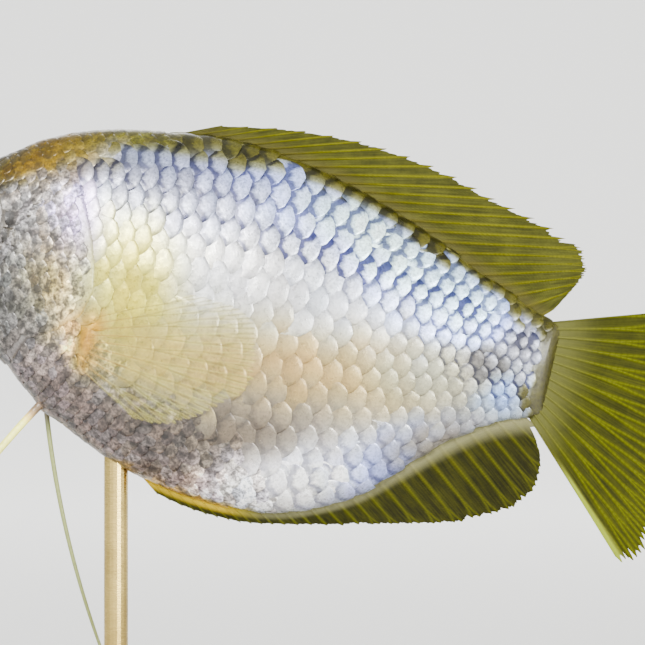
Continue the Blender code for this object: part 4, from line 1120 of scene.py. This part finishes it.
def pelvic_thread(side, word, material):
    """A feeler: a thread that leaves the throat and curves, with a paler root."""
    length, first, last, spread = THREADS[word]
    steps, sides = 70, 12
    x = PELVIC_AT * STANDARD_LENGTH
    width, level, _rise, drop = (float(value) for value in section(np.array(x)))
    share = (PELVIC_SPREAD / width) ** (1 / BELLY_SHARPNESS)
    foot = np.array([x, side * PELVIC_SPREAD, level - drop * math.sqrt(1 - share * share) + 0.25 * MM])
    ways = np.radians(first + (last - first) * (np.arange(steps) + 0.5) / steps)
    moves = np.stack([-np.cos(ways), np.full(steps, side * spread), -np.sin(ways)], -1)
    moves /= np.linalg.norm(moves, axis=1, keepdims=True)
    root = foot - 0.9 * MM * moves[0]
    path = np.concatenate([[root, foot], foot + np.cumsum(moves * (length + 0.4 * MM) / steps, axis=0)])
    along = np.concatenate([[0], np.linspace(0, 1, steps + 1)])
    radii = THREAD_RADIUS + (THREAD_TIP - THREAD_RADIUS) * along**1.2
    radii = radii * (1 + 0.10 * ridge(along, 0, 0.03)) * np.where(along > 0.999, 0.5, 1.0)
    points, faces = tube(path, radii * THREAD_SLIM[word], sides)
    out = np.repeat(along, sides)
    tint = with_alpha(blend(THREAD_COLOUR[word], THREAD_ROOT, ease(out, 0.065, 0.015)))
    new_piece("pelvic_ray_" + word, world(points), faces, material, "pelvic_ray", ("pelvic_fin_" + word,),
              out=out, tint=tint)


def eye(side, word, material):
    """An eyeball with a slightly raised cornea, where the solids have it."""
    x, z = (share * STANDARD_LENGTH for share in EYE_CENTRE)
    step, bulge = 0.2 * MM, 0.10
    along = (flank_at(x + step, z) - flank_at(x - step, z)) / (2 * step)
    upwards = (flank_at(x, z + step) - flank_at(x, z - step)) / (2 * step)
    look = Vector((-float(along), side, -float(upwards))).normalized()
    centre = Vector((x, side * float(flank_at(x, z)), z)) + look * (EYE_PROUD - EYE_DEPTH)
    turn = Vector((0.0, side, 0.0)).rotation_difference(look).to_matrix()
    rings, sides = 39, 64
    polar, around = np.linspace(0, math.pi, rings + 2)[1:-1, None], circle(sides)[None, :]
    radial = np.sin(polar)
    deep = EYE_DEPTH * np.cos(polar) * (1 + bulge * ridge(radial, 0, 0.45) * (np.cos(polar) > 0))
    points = np.stack([EYE_RADIUS * radial * np.cos(around), side * deep + 0 * around,
                       EYE_RADIUS * radial * np.sin(around)], -1).reshape(-1, 3)
    tips = [[0, side * EYE_DEPTH * (1 + bulge), 0], [0, -side * EYE_DEPTH, 0]]
    points = np.concatenate([points, tips])
    faces = ring_faces(rings, sides, (len(points) - 2, len(points) - 1))
    gaze, up = np.hypot(points[:, 0], points[:, 2]) / EYE_RADIUS, points[:, 2] / EYE_RADIUS
    points = points @ np.array(turn).T + np.array(centre)
    new_piece("eyeball_" + word, world(points), faces, material, "eye", ("eye_" + word,), gaze=gaze, up=up)


def collar(material):
    """A small turned brass collar where the rod enters the base."""
    bore, sides = ROD_RADIUS + 2 * CLEAR, 64
    profile = ((bore, 0.0), (0.0024, 0.0), (0.0025, 0.00015), (0.0024, 0.0004), (0.0019, 0.0005),
               (0.0016, 0.0009), (0.0013, 0.0011), (bore, 0.0011))
    points = np.array([(ROD_X + r * math.cos(t), r * math.sin(t), BASE_HEIGHT + CLEAR + z)
                       for r, z in profile for t in circle(sides)])
    faces = [tuple(k % len(points) for k in face) for face in ring_faces(len(profile) + 1, sides)]
    new_piece("stand_collar", points, faces, material, "stand_brass", sharp=35)


# Stage, lights and camera

def stage():
    """A pale floor that curves up into a wall all round."""
    flat, bend, top, sides = 0.62, 0.9, 1.6, 96
    curve = [(flat + bend * math.sin(angle), bend - bend * math.cos(angle))
             for angle in np.linspace(0.05, math.pi / 2, 20)]
    profile = [(0.3, 0.0), (flat, 0.0), *curve, (flat + bend, top)]
    points = [(r * math.cos(t), r * math.sin(t), z) for r, z in profile for t in circle(sides)]
    points.append((0, 0, 0))
    faces = [(len(points) - 1, j, (j + 1) % sides) for j in range(sides)]
    faces += [(a, d, c, b) for a, b, c, d in ring_faces(len(profile), sides)]
    mesh = bpy.data.meshes.new("floor")
    mesh.from_pydata(points, [], faces)
    mesh.shade_smooth()
    material, _tree = new_material("studio_floor")
    mesh.materials.append(finish(material, Base_Color=(0.80, 0.80, 0.78, 1.0), Roughness=0.9))
    floor = placed("floor", mesh)


def light_and_camera():
    for name, place, size, power, colour, aim in LAMPS:
        data = bpy.data.lights.new(name, "AREA")
        data.shape = "RECTANGLE"
        data.size, data.size_y = size
        data.energy, data.color = power, colour
        lamp = placed(name, data)
        lamp.location = place
        lamp.rotation_euler = (Vector(aim) - Vector(place)).to_track_quat("-Z", "Y").to_euler()
        lamp.visible_camera = False
    sky = bpy.data.worlds.new("studio")
    sky.use_nodes = True
    feed(sky.node_tree.nodes["Background"], {"Color": SKY, "Strength": SKY_STRENGTH})
    bpy.context.scene.world = sky
    data = bpy.data.cameras.new("camera")
    data.sensor_width, data.lens = SENSOR, LENS
    data.clip_start, data.clip_end = 0.01, 10.0
    camera = placed("camera", data)
    camera.location = (FRAME_MIDDLE[0], -FRAME_WIDTH * LENS / SENSOR, FRAME_MIDDLE[1])
    camera.rotation_euler = (math.pi / 2, 0.0, 0.0)
    bpy.context.scene.camera = camera


def main():
    webs = {name: fin_material(name) for name in FIN_LOOKS}
    thread, ball, brass = thread_material(), eye_material(), brass_material()
    skin(skin_material())
    scales(scale_material("gourami_scales", True), scale_material("gourami_small_scales", False))
    median_fins(webs["gourami_fin"], webs["gourami_anal_fin"])
    caudal_fin(webs["gourami_tail_fin"])
    for side, word in SIDES:
        pectoral_fin(side, word, webs["gourami_pectoral"])
        pelvic_thread(side, word, thread)
        eye(side, word, ball)
    collar(brass)
    for node, material in (("stand_base", wood_material()), ("stand_rod", brass)):
        frame["nodes"][node].material_slots[0].material = material
    stage()
    light_and_camera()


main()
